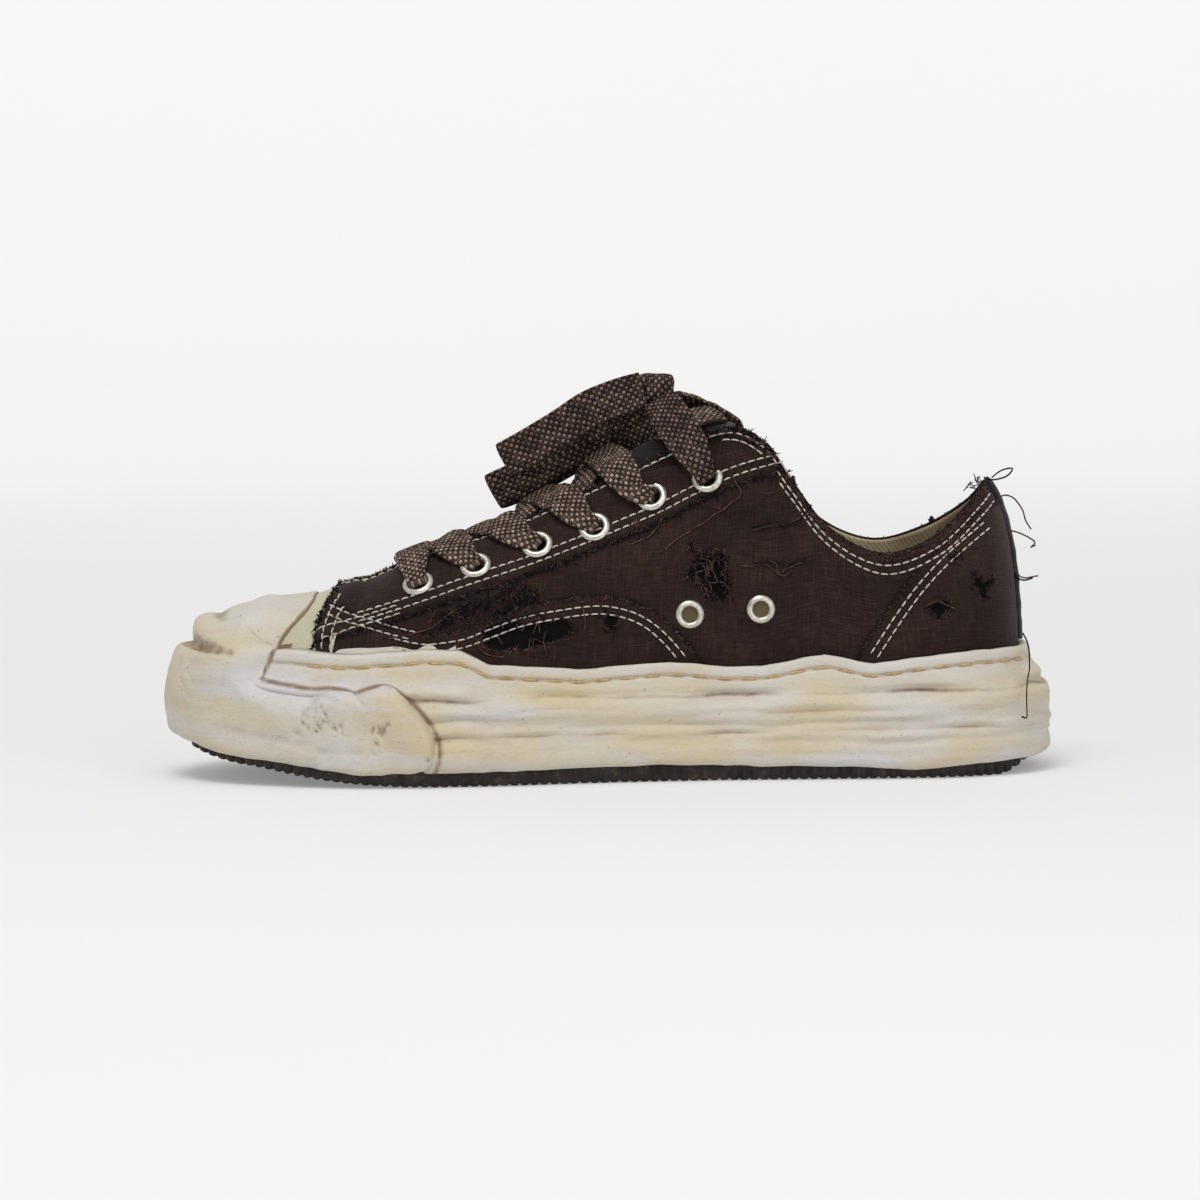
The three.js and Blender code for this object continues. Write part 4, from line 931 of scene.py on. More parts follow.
def seat_on_last(x, z, lateral, lift):
    station, share = find_on_last(x, z, lateral)
    return over_last(station, share, lift), last_normal(station, share)


EYELET_SEATS = [seat_on_last(x, z, lateral, 0.0) for lateral in (False, True) for x, z in EYELETS]
VENT_SEATS = [seat_on_last(x, z, False, 0.0) for x, z in VENTS]


def closed(path, corners):
    return np.vstack([smooth_line(path, 1.0), corners])


STAY_PANEL = closed(STAY_LOWER, [(66, 140), (-110, 140)])
FRONT_PANEL = closed(FRONT_UPPER, [(33, 20), (-110, 20)])
HEEL_PANEL = closed(HEEL_UPPER, [(160, 99), (160, 20)])
CANVAS_PANEL = closed(FRONT_EDGE, [(200, 150), (200, 0), (-101.5, 0)])
HOLES = [closed(h + h[:1], h[:1]) for h in (OVAL_HOLE, STAR_TEAR)]


def panel_lift(point, station):
    """How far the cloth stands off the last, in millimetres, with the panels that overlap there."""
    x, z = point[..., 0], point[..., 2]
    front = smoothstep(edge_distance(FRONT_PANEL, x, z), -0.5, 0.5)
    stay = smoothstep(edge_distance(STAY_PANEL, x, z), -0.5, 0.5)
    heel = smoothstep(edge_distance(HEEL_PANEL, x, z), -0.5, 0.5)
    lift = -0.35 + 0.45 * np.maximum(front, heel)
    lift = np.maximum(lift, blend(lift, 0.3 + 0.25 * front, stay))
    # the canvas climbs over the toe cap's rear edge
    return lift + 1.9 * (1 - smoothstep(edge_distance(CANVAS_PANEL, x, z), 1.5, 8))


def tears(point):
    """Distance into the nearest hole of the medial side, negative in whole cloth."""
    x, z, ragged = point[..., 0], point[..., 2], 0.5 * ripple(point, 2.2, 40)
    deep = np.maximum.reduce([edge_distance(h, x, z) for h in HOLES])
    for tear in SMALL_TEARS:
        deep = np.maximum(deep, edge_distance(tear, x, z) - 0.35)
    deep = np.where(point[..., 1] < 0, deep + ragged, -9.0)
    for seat, _ in EYELET_SEATS:
        deep = np.maximum(deep, 3.4 - np.linalg.norm(point - seat, axis=-1))
    return deep


# soft creases of the worn cloth: (x, z) of both ends, depth, width
FOLDS = [
    ((-62, 49), (-50, 60), 0.5, 3.2), ((-52, 48), (-37, 66), 0.45, 3.5), ((-34, 60), (-18, 72), 0.4, 3.5),
    ((6, 42), (22, 70), 0.35, 4.5), ((62, 44), (70, 92), 0.5, 5), ((80, 42), (83, 78), 0.35, 4),
    ((46, 60), (50, 92), 0.35, 4.5), ((97, 45), (110, 60), 0.3, 3.5), ((122, 48), (126, 74), 0.3, 3.5),
    ((-6, 66), (10, 82), 0.35, 4),
]


def fold_depth(point):
    x, z = point[..., 0], point[..., 2]
    total = 0.3 * ripple(point, 26, 31) + 0.12 * ripple(point, 9, 32)
    for (ax, az), (bx, bz), depth, width in FOLDS:
        part = np.clip(((x - ax) * (bx - ax) + (z - az) * (bz - az)) / ((bx - ax) ** 2 + (bz - az) ** 2), 0, 1)
        far = np.hypot(x - ax - part * (bx - ax), z - az - part * (bz - az))
        total = total - depth * np.exp(-((far / width) ** 2)) + 0.5 * depth * np.exp(-(((far - 1.8 * width) / width) ** 2))
    return total


def build_canvas():
    columns = np.linspace(0, STATIONS, 561)
    low = share_at_height(columns, footbed_at(station_values(columns)[..., 0]) + 3)
    low = np.maximum(low, share_at_height(columns, foxing_top(columns) - 7))
    share = low + np.linspace(0, 1, 85)[:, None] * (1 - low)
    station = np.broadcast_to(columns, share.shape)
    base = last_point(station, share)
    normal = last_normal(station, share)
    hole = tears(base)
    rim = 1 - smoothstep(share, 0.9, 0.99)
    lift = panel_lift(base, station) + fold_depth(base) * rim * 0.8
    lift = lift - 0.75 * smoothstep(hole, -0.1, 0.5) + 0.3 * np.exp(-(((hole + 0.7) / 0.7) ** 2))
    front = edge_distance(CANVAS_PANEL, base[..., 0], base[..., 2])
    lift = np.where(front < 0, np.maximum(0.0, lift - 2.0 * smoothstep(-front, 0, 1.0)), lift)
    outer = base + normal * lift[..., None]
    inner = (base + normal * (np.minimum(lift, 0.1) - 1.1)[..., None])[::-1]
    rows = np.concatenate([outer, inner, outer[:1]])
    run = np.cumsum(np.linalg.norm(np.diff(outer[42], axis=0, prepend=outer[42][:1]), axis=1))
    up = np.cumsum(np.linalg.norm(np.diff(outer, axis=0, prepend=outer[:1]), axis=2), axis=0)
    flat = np.stack(np.broadcast_arrays(run[None], up), axis=-1)
    flat = np.concatenate([flat, flat[::-1], flat[:1]])
    edges = np.maximum.reduce([
        np.exp(-(((edge_distance(panel, base[..., 0], base[..., 2]) + 0.9) / 0.9) ** 2))
        for panel in (STAY_PANEL, FRONT_PANEL, HEEL_PANEL)
    ])
    worn = smoothstep(share, 0.965, 1.0)
    vent = np.maximum.reduce([3.6 - np.linalg.norm(base - seat, axis=-1) for seat, _ in VENT_SEATS])
    full = {
        "tear": np.concatenate([hole, hole[::-1] * 0 - 9, hole[:1]]),
        "edge": np.concatenate([edges, edges[::-1] * 0, edges[:1]]),
        "worn": np.concatenate([worn, worn[::-1], worn[:1]]),
        "vent": np.concatenate([vent, vent[::-1] * 0 - 9, vent[:1]]),
    }
    return skin("canvas_shell", rows, wrap_rows=True, wrap_columns=True, cloth=flat, values=full)


canvas = build_canvas()
canvas_finish = Finish("brown_canvas", roughness=0.95, Specular_IOR_Level=0.12, Sheen_Weight=0.08, Sheen_Roughness=0.5)


def heathered(finish, dark, middle, light):
    """Plain weave of slubby dark yarn, with a faint warp and weft and darker faded patches."""
    flat = finish.cloth()
    warp = finish.node("Mapping", {0: flat, "Scale": (1.6, 0.12, 1)}).outputs[0]
    weft = finish.node("Mapping", {0: flat, "Scale": (0.12, 1.6, 1)}).outputs[0]
    slub_a, slub_b = finish.grain(warp, 1.0, detail=4), finish.grain(weft, 1.0, detail=4)
    slub = finish.math("MULTIPLY", finish.math("ADD", slub_a, slub_b), 0.5)
    patch = finish.grain(finish.place(), 42, detail=3)
    tone = finish.math("ADD", finish.math("MULTIPLY", slub, 0.7), finish.math("MULTIPLY", patch, 0.3))
    shade = finish.ramp(tone, [(0.36, dark), (0.5, middle), (0.64, light)])
    split = finish.node("SeparateXYZ", {0: flat})
    weave_a = finish.math("SINE", finish.math("MULTIPLY", split.outputs[0], 2 * math.pi / 0.9))
    weave_b = finish.math("SINE", finish.math("MULTIPLY", split.outputs[1], 2 * math.pi / 0.9))
    weave = finish.math("MULTIPLY", weave_a, weave_b)
    height = finish.math("ADD", finish.math("MULTIPLY", weave, 0.25), slub)
    return shade, finish.bump(height, 0.0003, 0.6)


shade, relief = heathered(canvas_finish, "1a1110", "2a1d1a", "3e2d29")
shade = canvas_finish.mix(canvas_finish.number("edge"), shade, colour("120d0d"))
shade = canvas_finish.mix(canvas_finish.math("MULTIPLY", canvas_finish.number("worn"), 0.7), shade, colour("19130f"))
# painted shade: inside the tears and the eyelet holes the cloth is painted near-black, for the dark inside of the shoe
hole = canvas_finish.ramp(canvas_finish.math("ADD", canvas_finish.number("tear"), 0.5), [(0.35, 0.0), (0.6, 1.0)])
shade = canvas_finish.mix(hole, shade, colour("070606"))
# the canvas inside the vent rings is painted in the lining's colour, darkened: the lining's own colour with painted
# shade
vent = canvas_finish.ramp(canvas_finish.math("ADD", canvas_finish.number("vent"), 0.5), [(0.4, 0.0), (0.6, 1.0)])
canvas_finish.set("Base Color", canvas_finish.mix(vent, shade, colour("5d523f")))
canvas_finish.set("Normal", relief)
canvas_finish.put_on(canvas)
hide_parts("upper")

# ---------- lining ----------
# Undyed cotton drill inside the canvas, seen at the collar; at the vent holes the canvas is painted in its colour
# instead.
columns = np.linspace(0, STATIONS, 281)
low = share_at_height(columns, footbed_at(station_values(columns)[..., 0]) + 4)
share = low + np.linspace(0, 1, 31)[:, None] * (0.985 - low)
station = np.broadcast_to(columns, share.shape)
face = over_last(station, share, -1.25 + 0 * share)
back = over_last(station, share, -2.05 + 0.15 * ripple(face, 14, 33))
rows = np.concatenate([face, back[::-1], face[:1]])
lining = skin("cotton_lining", rows, wrap_rows=True, wrap_columns=True)
lining_finish = Finish("cotton_drill", roughness=0.95, Sheen_Weight=0.2)
where = lining_finish.place()
twill = lining_finish.node("TexWave", {"Vector": lining_finish.place((1, 1, 1)), "Scale": 420.0, "Distortion": 1.2}, bands_direction="DIAGONAL").outputs["Fac"]
shade = lining_finish.ramp(lining_finish.grain(where, 70, detail=4), [(0.3, "9c8d70"), (0.55, "b6a688"), (0.8, "c4b79a")])
lining_finish.set("Base Color", lining_finish.mix(lining_finish.math("MULTIPLY", twill, 0.25), shade, colour("86775c")))
lining_finish.set("Normal", lining_finish.bump(twill, 0.0002, 0.5))
lining_finish.put_on(lining)

# ---------- insole ----------
# Thin moulded foam footbed under a fabric top, dished a little towards the heel.
columns = np.linspace(0, STATIONS, 141)
inset = np.array([3.2, 3.0, 3.1, 3.8, 5.5, 10, 18, 26])
lifts = np.array([0.0, 2.6, 3.5, 4.0, 3.9, 3.6, 3.4, 3.3])
rows = []
for gap, lift in zip(inset, lifts):
    narrow = np.minimum(gap, 0.62 * np.abs(station_values(columns)[..., 1]) + 3)
    ring = outline_point(columns, -gap, footbed_at(station_values(columns)[..., 0]) + lift)
    rows.append(ring)
middle = rows[-1].copy()
middle[..., 1] = blend(middle[..., 1], np.interp(middle[..., 0], [-140, -60, 40, 140], [2, 2, 2, 0]), 0.97)
rows.append(middle)
under = rows[0].copy()
under[..., 1] *= 0.02
insole = skin("foam_insole", np.stack([under] + rows), wrap_columns=True)
insole_finish = Finish("footbed_cloth", roughness=0.95, Sheen_Weight=0.2)
where = insole_finish.place()
insole_finish.set("Base Color", insole_finish.ramp(insole_finish.grain(where, 60, detail=5), [(0.3, "7d6a50"), (0.55, "9a8768"), (0.8, "a99a7e")]))
insole_finish.set("Normal", insole_finish.bump(insole_finish.grain(where, 1500, detail=3), 0.0002, 0.6))
insole_finish.put_on(insole)
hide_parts("insole")

# ---------- tongue ----------
# Soft doubled canvas under the laces, a little wider than the throat, with a raw top edge.
TONGUE_CROWN = [(-88, 0), (-60, -0.5), (-45, 0.5), (-30, 3), (-10, 6), (15, 8.5), (30, 6.5), (45, 0)]


def tongue_point(station, across, depth):
    """A point of the tongue: across runs from -1 under the medial edge to 1 under the lateral."""
    station, across, depth = np.broadcast_arrays(*(np.asarray(v, float) for v in (station, across, depth)))
    clearance = 2.7
    own = np.where(across < 0, station, STATIONS - station)
    tucked = over_last(own, np.clip(2 - np.abs(across), 0, 1), -clearance - depth)
    edge_a = over_last(station, np.ones(station.shape), -clearance + 0 * depth)
    edge_b = over_last(STATIONS - station, np.ones(station.shape), -clearance + 0 * depth)
    point = blend(edge_a, edge_b, (across[..., None] + 1) / 2)
    crown = table(TONGUE_CROWN, point[..., 0]) + clearance
    point[..., 2] += crown * (1 - across * across) - depth * blend(1, 0.8, np.abs(across))
    return np.where((np.abs(across) >= 1)[..., None], tucked, point)


station, across = np.meshgrid(np.linspace(12.9, 6.9, 121), np.linspace(-1.14, 1.14, 45))
face = tongue_point(station, across, 0)
soft = 0.35 * ripple(face, 12, 34) + 0.15 * ripple(face, 4, 35)
soft = soft * (np.abs(across) < 0.95)
face = tongue_point(station, across, -soft)
back = tongue_point(station, across, 3.0)
tongue = skin("tongue_cloth", np.concatenate([face, back[::-1], face[:1]]), wrap_rows=True,
              cloth=np.concatenate([np.stack([across * 20, station * 20], -1), np.stack([across * 20, station * 20], -1)[::-1], np.stack([across * 20, station * 20], -1)[:1]]))
tongue_finish = Finish("tongue_canvas", roughness=0.95, Specular_IOR_Level=0.2, Sheen_Weight=0.2)
shade, relief = heathered(tongue_finish, "100c0d", "1d1716", "2c2322")
tongue_finish.set("Base Color", shade)
tongue_finish.set("Normal", relief)
tongue_finish.put_on(tongue)
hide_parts("tongue")

# ---------- eyelets and vents ----------
# Nickel-plated rings with a rolled flange, pressed through the canvas: six lace eyelets on
# each side, and two smaller vents low on the medial side.
nickel = Finish("nickel", roughness=0.32, Metallic=0.85)
where = nickel.place()
nickel.set("Base Color", nickel.ramp(nickel.grain(where, 700, detail=4), [(0.3, "b9b3a6"), (0.6, "dedad0"), (0.85, "e8e4da")]))
nickel.set("Roughness", nickel.ramp(nickel.grain(where, 1100, detail=4), [(0.3, 0.24), (0.75, 0.5)]))
nickel.set("Normal", nickel.bump(nickel.grain(where, 2400, detail=3), 0.00006, 0.5))


def eyelet_ring(name, seat, out, outer, hole):
    bm = bmesh.new()
    barrel = hole + 0.6
    profile = [(barrel, -2.3), (barrel, 0.0), (outer, 0.0), (outer + 0.05, 0.25), (outer - 0.25, 0.62),
               (outer - 0.8, 0.98), ((outer + hole) / 2, 1.1), (hole + 0.55, 0.98), (hole + 0.12, 0.55),
               (hole, 0.0), (hole, -2.3)]
    verts = [bm.verts.new((r / 1000, 0, h / 1000)) for r, h in profile]
    edges = [bm.edges.new(pair) for pair in zip(verts, verts[1:] + verts[:1])]
    bmesh.ops.spin(bm, geom=verts + edges, cent=(0, 0, 0), axis=(0, 0, 1), angle=2 * math.pi, steps=48,
                   use_merge=True, use_normal_flip=False, use_duplicate=False)
    bmesh.ops.remove_doubles(bm, verts=bm.verts, dist=1e-6)
    bmesh.ops.recalc_face_normals(bm, faces=bm.faces)
    turn = Vector((0, 0, 1)).rotation_difference(Vector(out)).to_matrix().to_4x4()
    bmesh.ops.transform(bm, verts=bm.verts, matrix=Matrix.Translation(Vector(metres(seat))) @ turn)
    ring = piece_of(name, bm)
    nickel.put_on(ring)
    return ring


for lateral in (False, True):
    side = "lateral" if lateral else "medial"
    for k, (x, z) in enumerate(EYELETS):
        seat, out = seat_on_last(x, z, lateral, 0.55)
        ring = eyelet_ring(f"ring_{side}_{k + 1}", seat, out, 5.5, 3.1)
        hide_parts(f"eyelet_{side}_{k + 1}")
for k, (x, z) in enumerate(VENTS):
    seat, out = seat_on_last(x, z, False, -0.1)
    ring = eyelet_ring(f"vent_ring_{k + 1}", seat, out, 4.95, 2.75)
    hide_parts(f"vent_{k + 1}")

# ---------- lacing ----------
# The same lace, cleaner and lighter where it has been under tension. A band leaves each eyelet
# narrow, opens over the edge of the stay and tucks under its partner on the tongue.
STATION_OF = [find_on_last(x, z, False)[0] for x, z in EYELETS]


def own_side(station, lateral):
    return STATIONS - station if lateral else station


def throat(station, across, lift, lateral):
    return tongue_point(station, -across if lateral else across, -lift)


def tapered_ribbon(name, knots, sides, widths, seed=0, outward=False, curl=0.8, finish=throat_lace):
    line = smooth_line(knots, 0.7)
    share = np.linspace(0, 1, len(line))
    width = np.interp(share, np.linspace(0, 1, len(widths)), widths)
    piece = ribbon(name, line, sides, width=width, curl=curl, cup=0.5, seed=seed, outward=outward)
    finish.put_on(piece)
    return piece


def lace_strand(name, k, lateral, over):
    """From eyelet k over the edge of the stay and across the tongue towards the next pair."""
    start = STATION_OF[k]
    step = (STATION_OF[k - 1] if k else STATION_OF[0] + 0.9) - start
    seat, out = EYELET_SEATS[k + (6 if lateral else 0)]
    rim = lambda share, height, lift: over_last(own_side(start + step * share, lateral), height, lift)
    tall = (0.0, 0.9, 0.6, 1.2, 4.2)[k] + (0.8 if over else 0.0)
    knots = [
        seat + out * 0.1, seat + out * 1.8, rim(0.3, 0.86, 2.4 + 0.3 * tall), rim(0.62, 1.0, 1.6 + 0.8 * tall),
        throat(start + step * 0.9, -0.66, 2.2 + 0.9 * tall, lateral),
        throat(start + step * 1.12, -0.1, 2.2 + (0.6 * tall if over else 0.0), lateral),
        throat(start + step * 1.3, 0.5, 1.7, lateral), throat(start + step * 1.42, 0.96, 0.9, lateral),
    ]
    up = np.array([-0.3, 0.0, 1.0])
    faces = [out, out, unit(out + 0.35 * up), unit(out + 1.3 * up), up, up]
    widths = (6.4, 8.0, 12.0, 13.6, 13.8, 13.2, 12.5, 12, 11, 9)
    return tapered_ribbon(name, np.array(knots), faces, widths, seed=k, outward=True, curl=1.6)


for k in range(1, 5):
    near = lace_strand(f"lace_band_medial_{k + 1}", k, False, True)
    far = lace_strand(f"lace_band_lateral_{k + 1}", k, True, False)
    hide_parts(f"lace_crossing_{k}")
    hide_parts(f"lace_crossing_{k}")

# The first band runs straight across between the two front eyelets.
halves = []
for lateral in (False, True):
    seat, out = EYELET_SEATS[6 if lateral else 0]
    halves.append([
        seat + out * 0.2, seat + out * 2.2, over_last(own_side(STATION_OF[0] + 0.12, lateral), 0.9, 3.0),
        over_last(own_side(STATION_OF[0] + 0.2, lateral), 1.0, 3.0),
        throat(STATION_OF[0] + 0.28, -0.6, 3.6, lateral),
    ])
bar_line = np.array(halves[0] + [throat(STATION_OF[0] + 0.3, 0, 3.0, False)] + halves[1][::-1])
side = unit(last_point(STATION_OF[0] - 0.3, 1.0) - last_point(STATION_OF[0] + 0.3, 1.0))
bar = tapered_ribbon("lace_band_1", bar_line, [side, side], (6.4, 8.5, 12, 13, 13, 13, 13, 13, 12, 8.5, 6.4), seed=9)
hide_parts("lace_bar")

# The last pair crosses low in the throat before it comes up through the top eyelets.
low, high = STATION_OF[4], STATION_OF[5]
for lateral in (False, True):
    knots = [throat(blend(high, low, share), across, lift + (1.6 if lateral else 0), lateral)
             for share, across, lift in ((0.9, -0.75, 1.8), (0.7, -0.4, 2.2), (0.5, 0.0, 2.2), (0.3, 0.4, 2.2), (0.1, 0.75, 1.6))]
    sides = [unit(tongue_point(s - 0.3, 0, 0) - tongue_point(s + 0.3, 0, 0)) for s in (low, high)]
    name = "lace_low_lateral" if lateral else "lace_low_medial"
    piece = tapered_ribbon(name, np.array(knots), sides, (11, 12.5, 12.5, 11), seed=12)
    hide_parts("lace_crossing_5")

# From each top eyelet a lead rises to the knot.
seat, out = EYELET_SEATS[5]
lead = tapered_ribbon("lace_rise_medial", np.array([
    seat + out * 0.2, seat + out * 2.2, (31.5, -29.5, 111), (26.5, -23.5, 119.5), (21.5, -15, 127), (18.5, -7, 131)]),
    [(0.75, 0, 0.55), (0.9, 0, 0.5), (0.85, 0, 0.6)], (6.6, 9.5, 13, 14, 14, 13.5, 12), seed=14, finish=bow_lace)
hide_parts("lace_lead_medial")
seat, out = EYELET_SEATS[11]
lead = tapered_ribbon("lace_rise_lateral", np.array([
    seat + out * 0.2, seat + out * 2.2, (42, 31.5, 113.0), (44, 25.5, 119.8), (39, 17, 124.6), (31, 8, 129.6), (24, 2, 132.4)]),
    [(1, 0, 0.2), (0.5, -0.5, 0.3), (0.32, -0.87, 0.37)], (6, 8, 10.5, 10.5, 10, 9), seed=15)
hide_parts("lace_lead_lateral")

# Under the knot the two leads cross in a half knot.
under = tapered_ribbon("lace_half_knot", np.array([
    (26, -8.5, 121.5), (21, -7.5, 122.5), (15, -4.5, 121.5), (9, -1, 119), (4, 1.5, 116)]),
    [(-0.3, 0, 0.9), (-0.45, 0, 0.88)], (7, 11.5, 12, 11, 8), seed=21, finish=bow_lace)

# ---------- seams ----------
# Double rows of off-white lockstitch along every panel edge, 3 mm apart, and round the collar.
def edge_path(points, lateral, lift, shift=(0, 0), step=0.5):
    """A seam on the cloth along a line seen from the side, with its direction off the cloth."""
    line = smooth_line(points, step) + np.array(shift)
    station, share = find_on_last(line[:, 0], line[:, 1], lateral)
    base = last_point(station, share)
    out = last_normal(station, share)
    raised = panel_lift(base, station) + fold_depth(base) * 0.8 * (1 - smoothstep(share, 0.9, 0.99)) + lift
    return np.hstack([base + out * raised[:, None], out])


def shifted(points, gap):
    """The line moved sideways by a gap, to its left as it runs."""
    points = np.asarray(points, float)
    ahead = unit(np.gradient(points, axis=0))
    return points + np.stack([-ahead[:, 1], ahead[:, 0]], axis=1) * gap


def rim_path(first, last, below, lift, step=0.02):
    """A seam a fixed distance under the collar or throat edge, between two stations."""
    station = np.arange(first, last, step)
    reach = np.linalg.norm(last_point(station, 1.0) - last_point(station, 0.97), axis=-1) / 0.03
    share = 1 - below / reach
    base, out = last_point(station, share), last_normal(station, share)
    raised = panel_lift(base, station) + fold_depth(base) * 0.8 * (1 - smoothstep(share, 0.9, 0.99)) + lift
    return np.hstack([base + out * raised[:, None], out])


PITCH, LONG = 3.3, 2.75
white = Finish("seam_thread", roughness=0.7, Sheen_Weight=0.2)
white.set("Base Color", white.ramp(white.grain(white.place(), 500), [(0.3, "a89d92"), (0.6, "cfc7bd"), (0.8, "dcd5cb")]))
white.set("Normal", white.bump(white.grain(white.place(), 3500), 0.0001))
rows = []
for lateral in (False, True):
    stay = smooth_line(STAY_LOWER[2:], 2.0)
    for gap in (2.2, 4.9):
        rows += stitches(edge_path(shifted(stay, gap), lateral, 0.12), PITCH, LONG)
    front = smooth_line(FRONT_UPPER[3:-1], 2.0)
    for gap in (-2.6, -5.3):
        rows += stitches(edge_path(shifted(front, gap), lateral, 0.12), PITCH, LONG)
    toe_run = smooth_line([(-96.5, 59.5), (-86, 57.5), (-76, 55.0), (-66, 52.6)], 2.0)
    for gap in (0, -2.8):
        rows += stitches(edge_path(shifted(toe_run, gap), lateral, 0.16), PITCH, LONG)
    low_run = smooth_line([(-99, 49.5), (-90, 53.4), (-80, 56.4), (-70, 59.6)], 2.0)
    for gap in (0, 2.8):
        rows += stitches(edge_path(shifted(low_run, gap), lateral, 0.16), PITCH, LONG)
    for gap in (-2.2, -4.8):
        rows += stitches(edge_path(shifted(smooth_line(FRONT_EDGE[1:6], 2.0), gap), lateral, 0.2), PITCH, LONG)
    for gap in (-2.4, -5.1):
        rows += stitches(edge_path(shifted(smooth_line(HEEL_UPPER[1:-1], 2.0), gap), lateral, 0.12), PITCH, LONG)
for first, last, below in ((0.35, 5.5, 4.4), (0.35, 5.5, 6.9), (5.5, 12.9, 2.6), (15.1, 22.5, 2.6),
                           (22.5, 27.65, 4.4), (22.5, 27.65, 6.9), (6.0, 7.2, 5.0), (20.8, 22.0, 5.0)):
    rows += stitches(rim_path(first, last, below, 0.12), PITCH, LONG)
seams = threads("seam_stitching", rows, 0.3)
white.put_on(seams)

# ---------- raw edges ----------
# Every cut edge is left raw, so short black and brown yarn ends stand out of it all along:
# the collar, the throat, the panel edges, the canvas over the toe cap and the holes.
chance = random.Random(11)


def yarn_end(start, away, length, wild=0.5, bend=0.5):
    """A short curved yarn that starts on the cloth and curls away from it."""
    way = unit(np.asarray(away, float) + np.array([chance.gauss(0, wild) for _ in range(3)]))
    turn = np.array([chance.gauss(0, bend) for _ in range(3)])
    line = [np.asarray(start, float)]
    for _ in range(3):
        line.append(line[-1] + way * length / 3)
        way = unit(way + turn)
    return np.array(line), np.array([1.0, 0.95, 0.8, 0.35])


def fringe(paths, step, length, wild, across=(0, 0), rise=0.5, drop=0.0):
    """Yarn ends along paths of points and outward directions; across moves them over the edge."""
    made = []
    for path in paths:
        line = path[:, :3]
        run = np.concatenate([[0], np.cumsum(np.linalg.norm(np.diff(line, axis=0), axis=1))])
        ahead = unit(np.gradient(line, axis=0))
        spot = 0.0
        while spot < run[-1]:
            k = int(np.searchsorted(run, spot))
            k = min(k, len(line) - 1)
            out = path[k, 3:6]
            side = np.cross(out, ahead[k])
            shift = side * chance.uniform(*across)
            way = out * rise + side * chance.uniform(-0.3, 1.0) * math.copysign(1, drop or 1) + ahead[k] * chance.gauss(0, 0.5)
            way = way + np.array([0, 0, drop])
            made.append(yarn_end(line[k] + shift - out * 0.2, way, chance.uniform(*length), wild))
            spot += chance.expovariate(1 / step)
    return made


black_yarn = Finish("black_yarn", roughness=0.95, Specular_IOR_Level=0.1)
black_yarn.set("Base Color", black_yarn.ramp(black_yarn.grain(black_yarn.place(), 500), [(0.3, "0a0a0b"), (0.6, "1a1a1d"), (0.8, "2b292b")]))
brown_yarn = Finish("brown_yarn", roughness=0.95, Specular_IOR_Level=0.1)
brown_yarn.set("Base Color", brown_yarn.ramp(brown_yarn.grain(brown_yarn.place(), 500), [(0.3, "30211f"), (0.55, "513c38"), (0.8, "7a5d57")]))

collar = [rim_path(0.0, 6.4, 0.3, 0.2), rim_path(21.6, 28.0, 0.3, 0.2)]
brow = [rim_path(5.6, 7.6, 0.3, 0.4), rim_path(20.4, 22.4, 0.3, 0.4)]
throat_edges = [rim_path(7.4, 13.0, 0.3, 0.3), rim_path(15.0, 20.6, 0.3, 0.3)]
stay_edges = [edge_path(STAY_LOWER[1:], lateral, -0.15) for lateral in (False, True)]
front_edges = [edge_path(FRONT_UPPER[3:-1], lateral, -0.1) for lateral in (False, True)]
heel_edges = [edge_path(HEEL_UPPER[1:], lateral, -0.1) for lateral in (False, True)]
toe_edges = [edge_path(FRONT_EDGE[1:7], lateral, -0.4) for lateral in (False, True)]
shred = [edge_path([(-60, 55.5), (-50, 59), (-38, 63.5), (-28, 66)], False, -0.2), edge_path([(-38, 56.5), (-30, 61), (-24, 64.5)], False, -0.2)]

fine = fringe(collar, 1.5, (0.6, 1.7), 0.5, (0.0, 0.8), 0.1, 0.6)
fine += fringe(brow, 0.26, (1.0, 2.8), 0.8, (0.0, 1.9), 0.2, 0.3)
fine += fringe(throat_edges, 0.7, (0.8, 1.8), 0.6, (0.0, 0.7), 0.15, 0.3)
fine += fringe(stay_edges, 0.4, (1.2, 3.4), 0.35, (-1.2, 0.4), 0.15, -0.2)
fine += fringe(toe_edges, 0.16, (0.9, 2.4), 0.7, (-1.4, 1.2), 0.3)
fine += fringe(shred, 0.09, (1.5, 4.0), 0.5, (-2.6, 2.6), 0.12)
dark_fringe = threads("raw_edge_black", fine, 0.24, rounds=0)
black_yarn.put_on(dark_fringe)
soft = fringe(collar, 0.22, (0.5, 1.2), 0.4, (0.1, 2.9), 0.3, 0.1)
soft += fringe(brow, 0.36, (1.0, 2.6), 0.7, (0.0, 2.2), 0.25, 0.2)
soft += fringe(throat_edges, 1.0, (0.7, 1.6), 0.5, (0.0, 0.8), 0.15, 0.2)
soft += fringe(front_edges, 0.34, (0.8, 1.9), 0.4, (-0.6, 0.9), 0.3)
soft += fringe(heel_edges, 0.34, (0.8, 1.9), 0.4, (-0.6, 0.9), 0.3)
soft += fringe(stay_edges, 0.8, (1.0, 2.6), 0.35, (-1.0, 0.4), 0.15, -0.2)
soft += fringe(toe_edges, 0.5, (1.0, 2.2), 0.7, (-1.0, 0.8), 0.25)
soft += fringe(shred, 0.5, (1.5, 3.6), 0.5, (-2.4, 2.4), 0.2)
brown_fringe = threads("raw_edge_brown", soft, 0.22, rounds=0)
brown_yarn.put_on(brown_fringe)

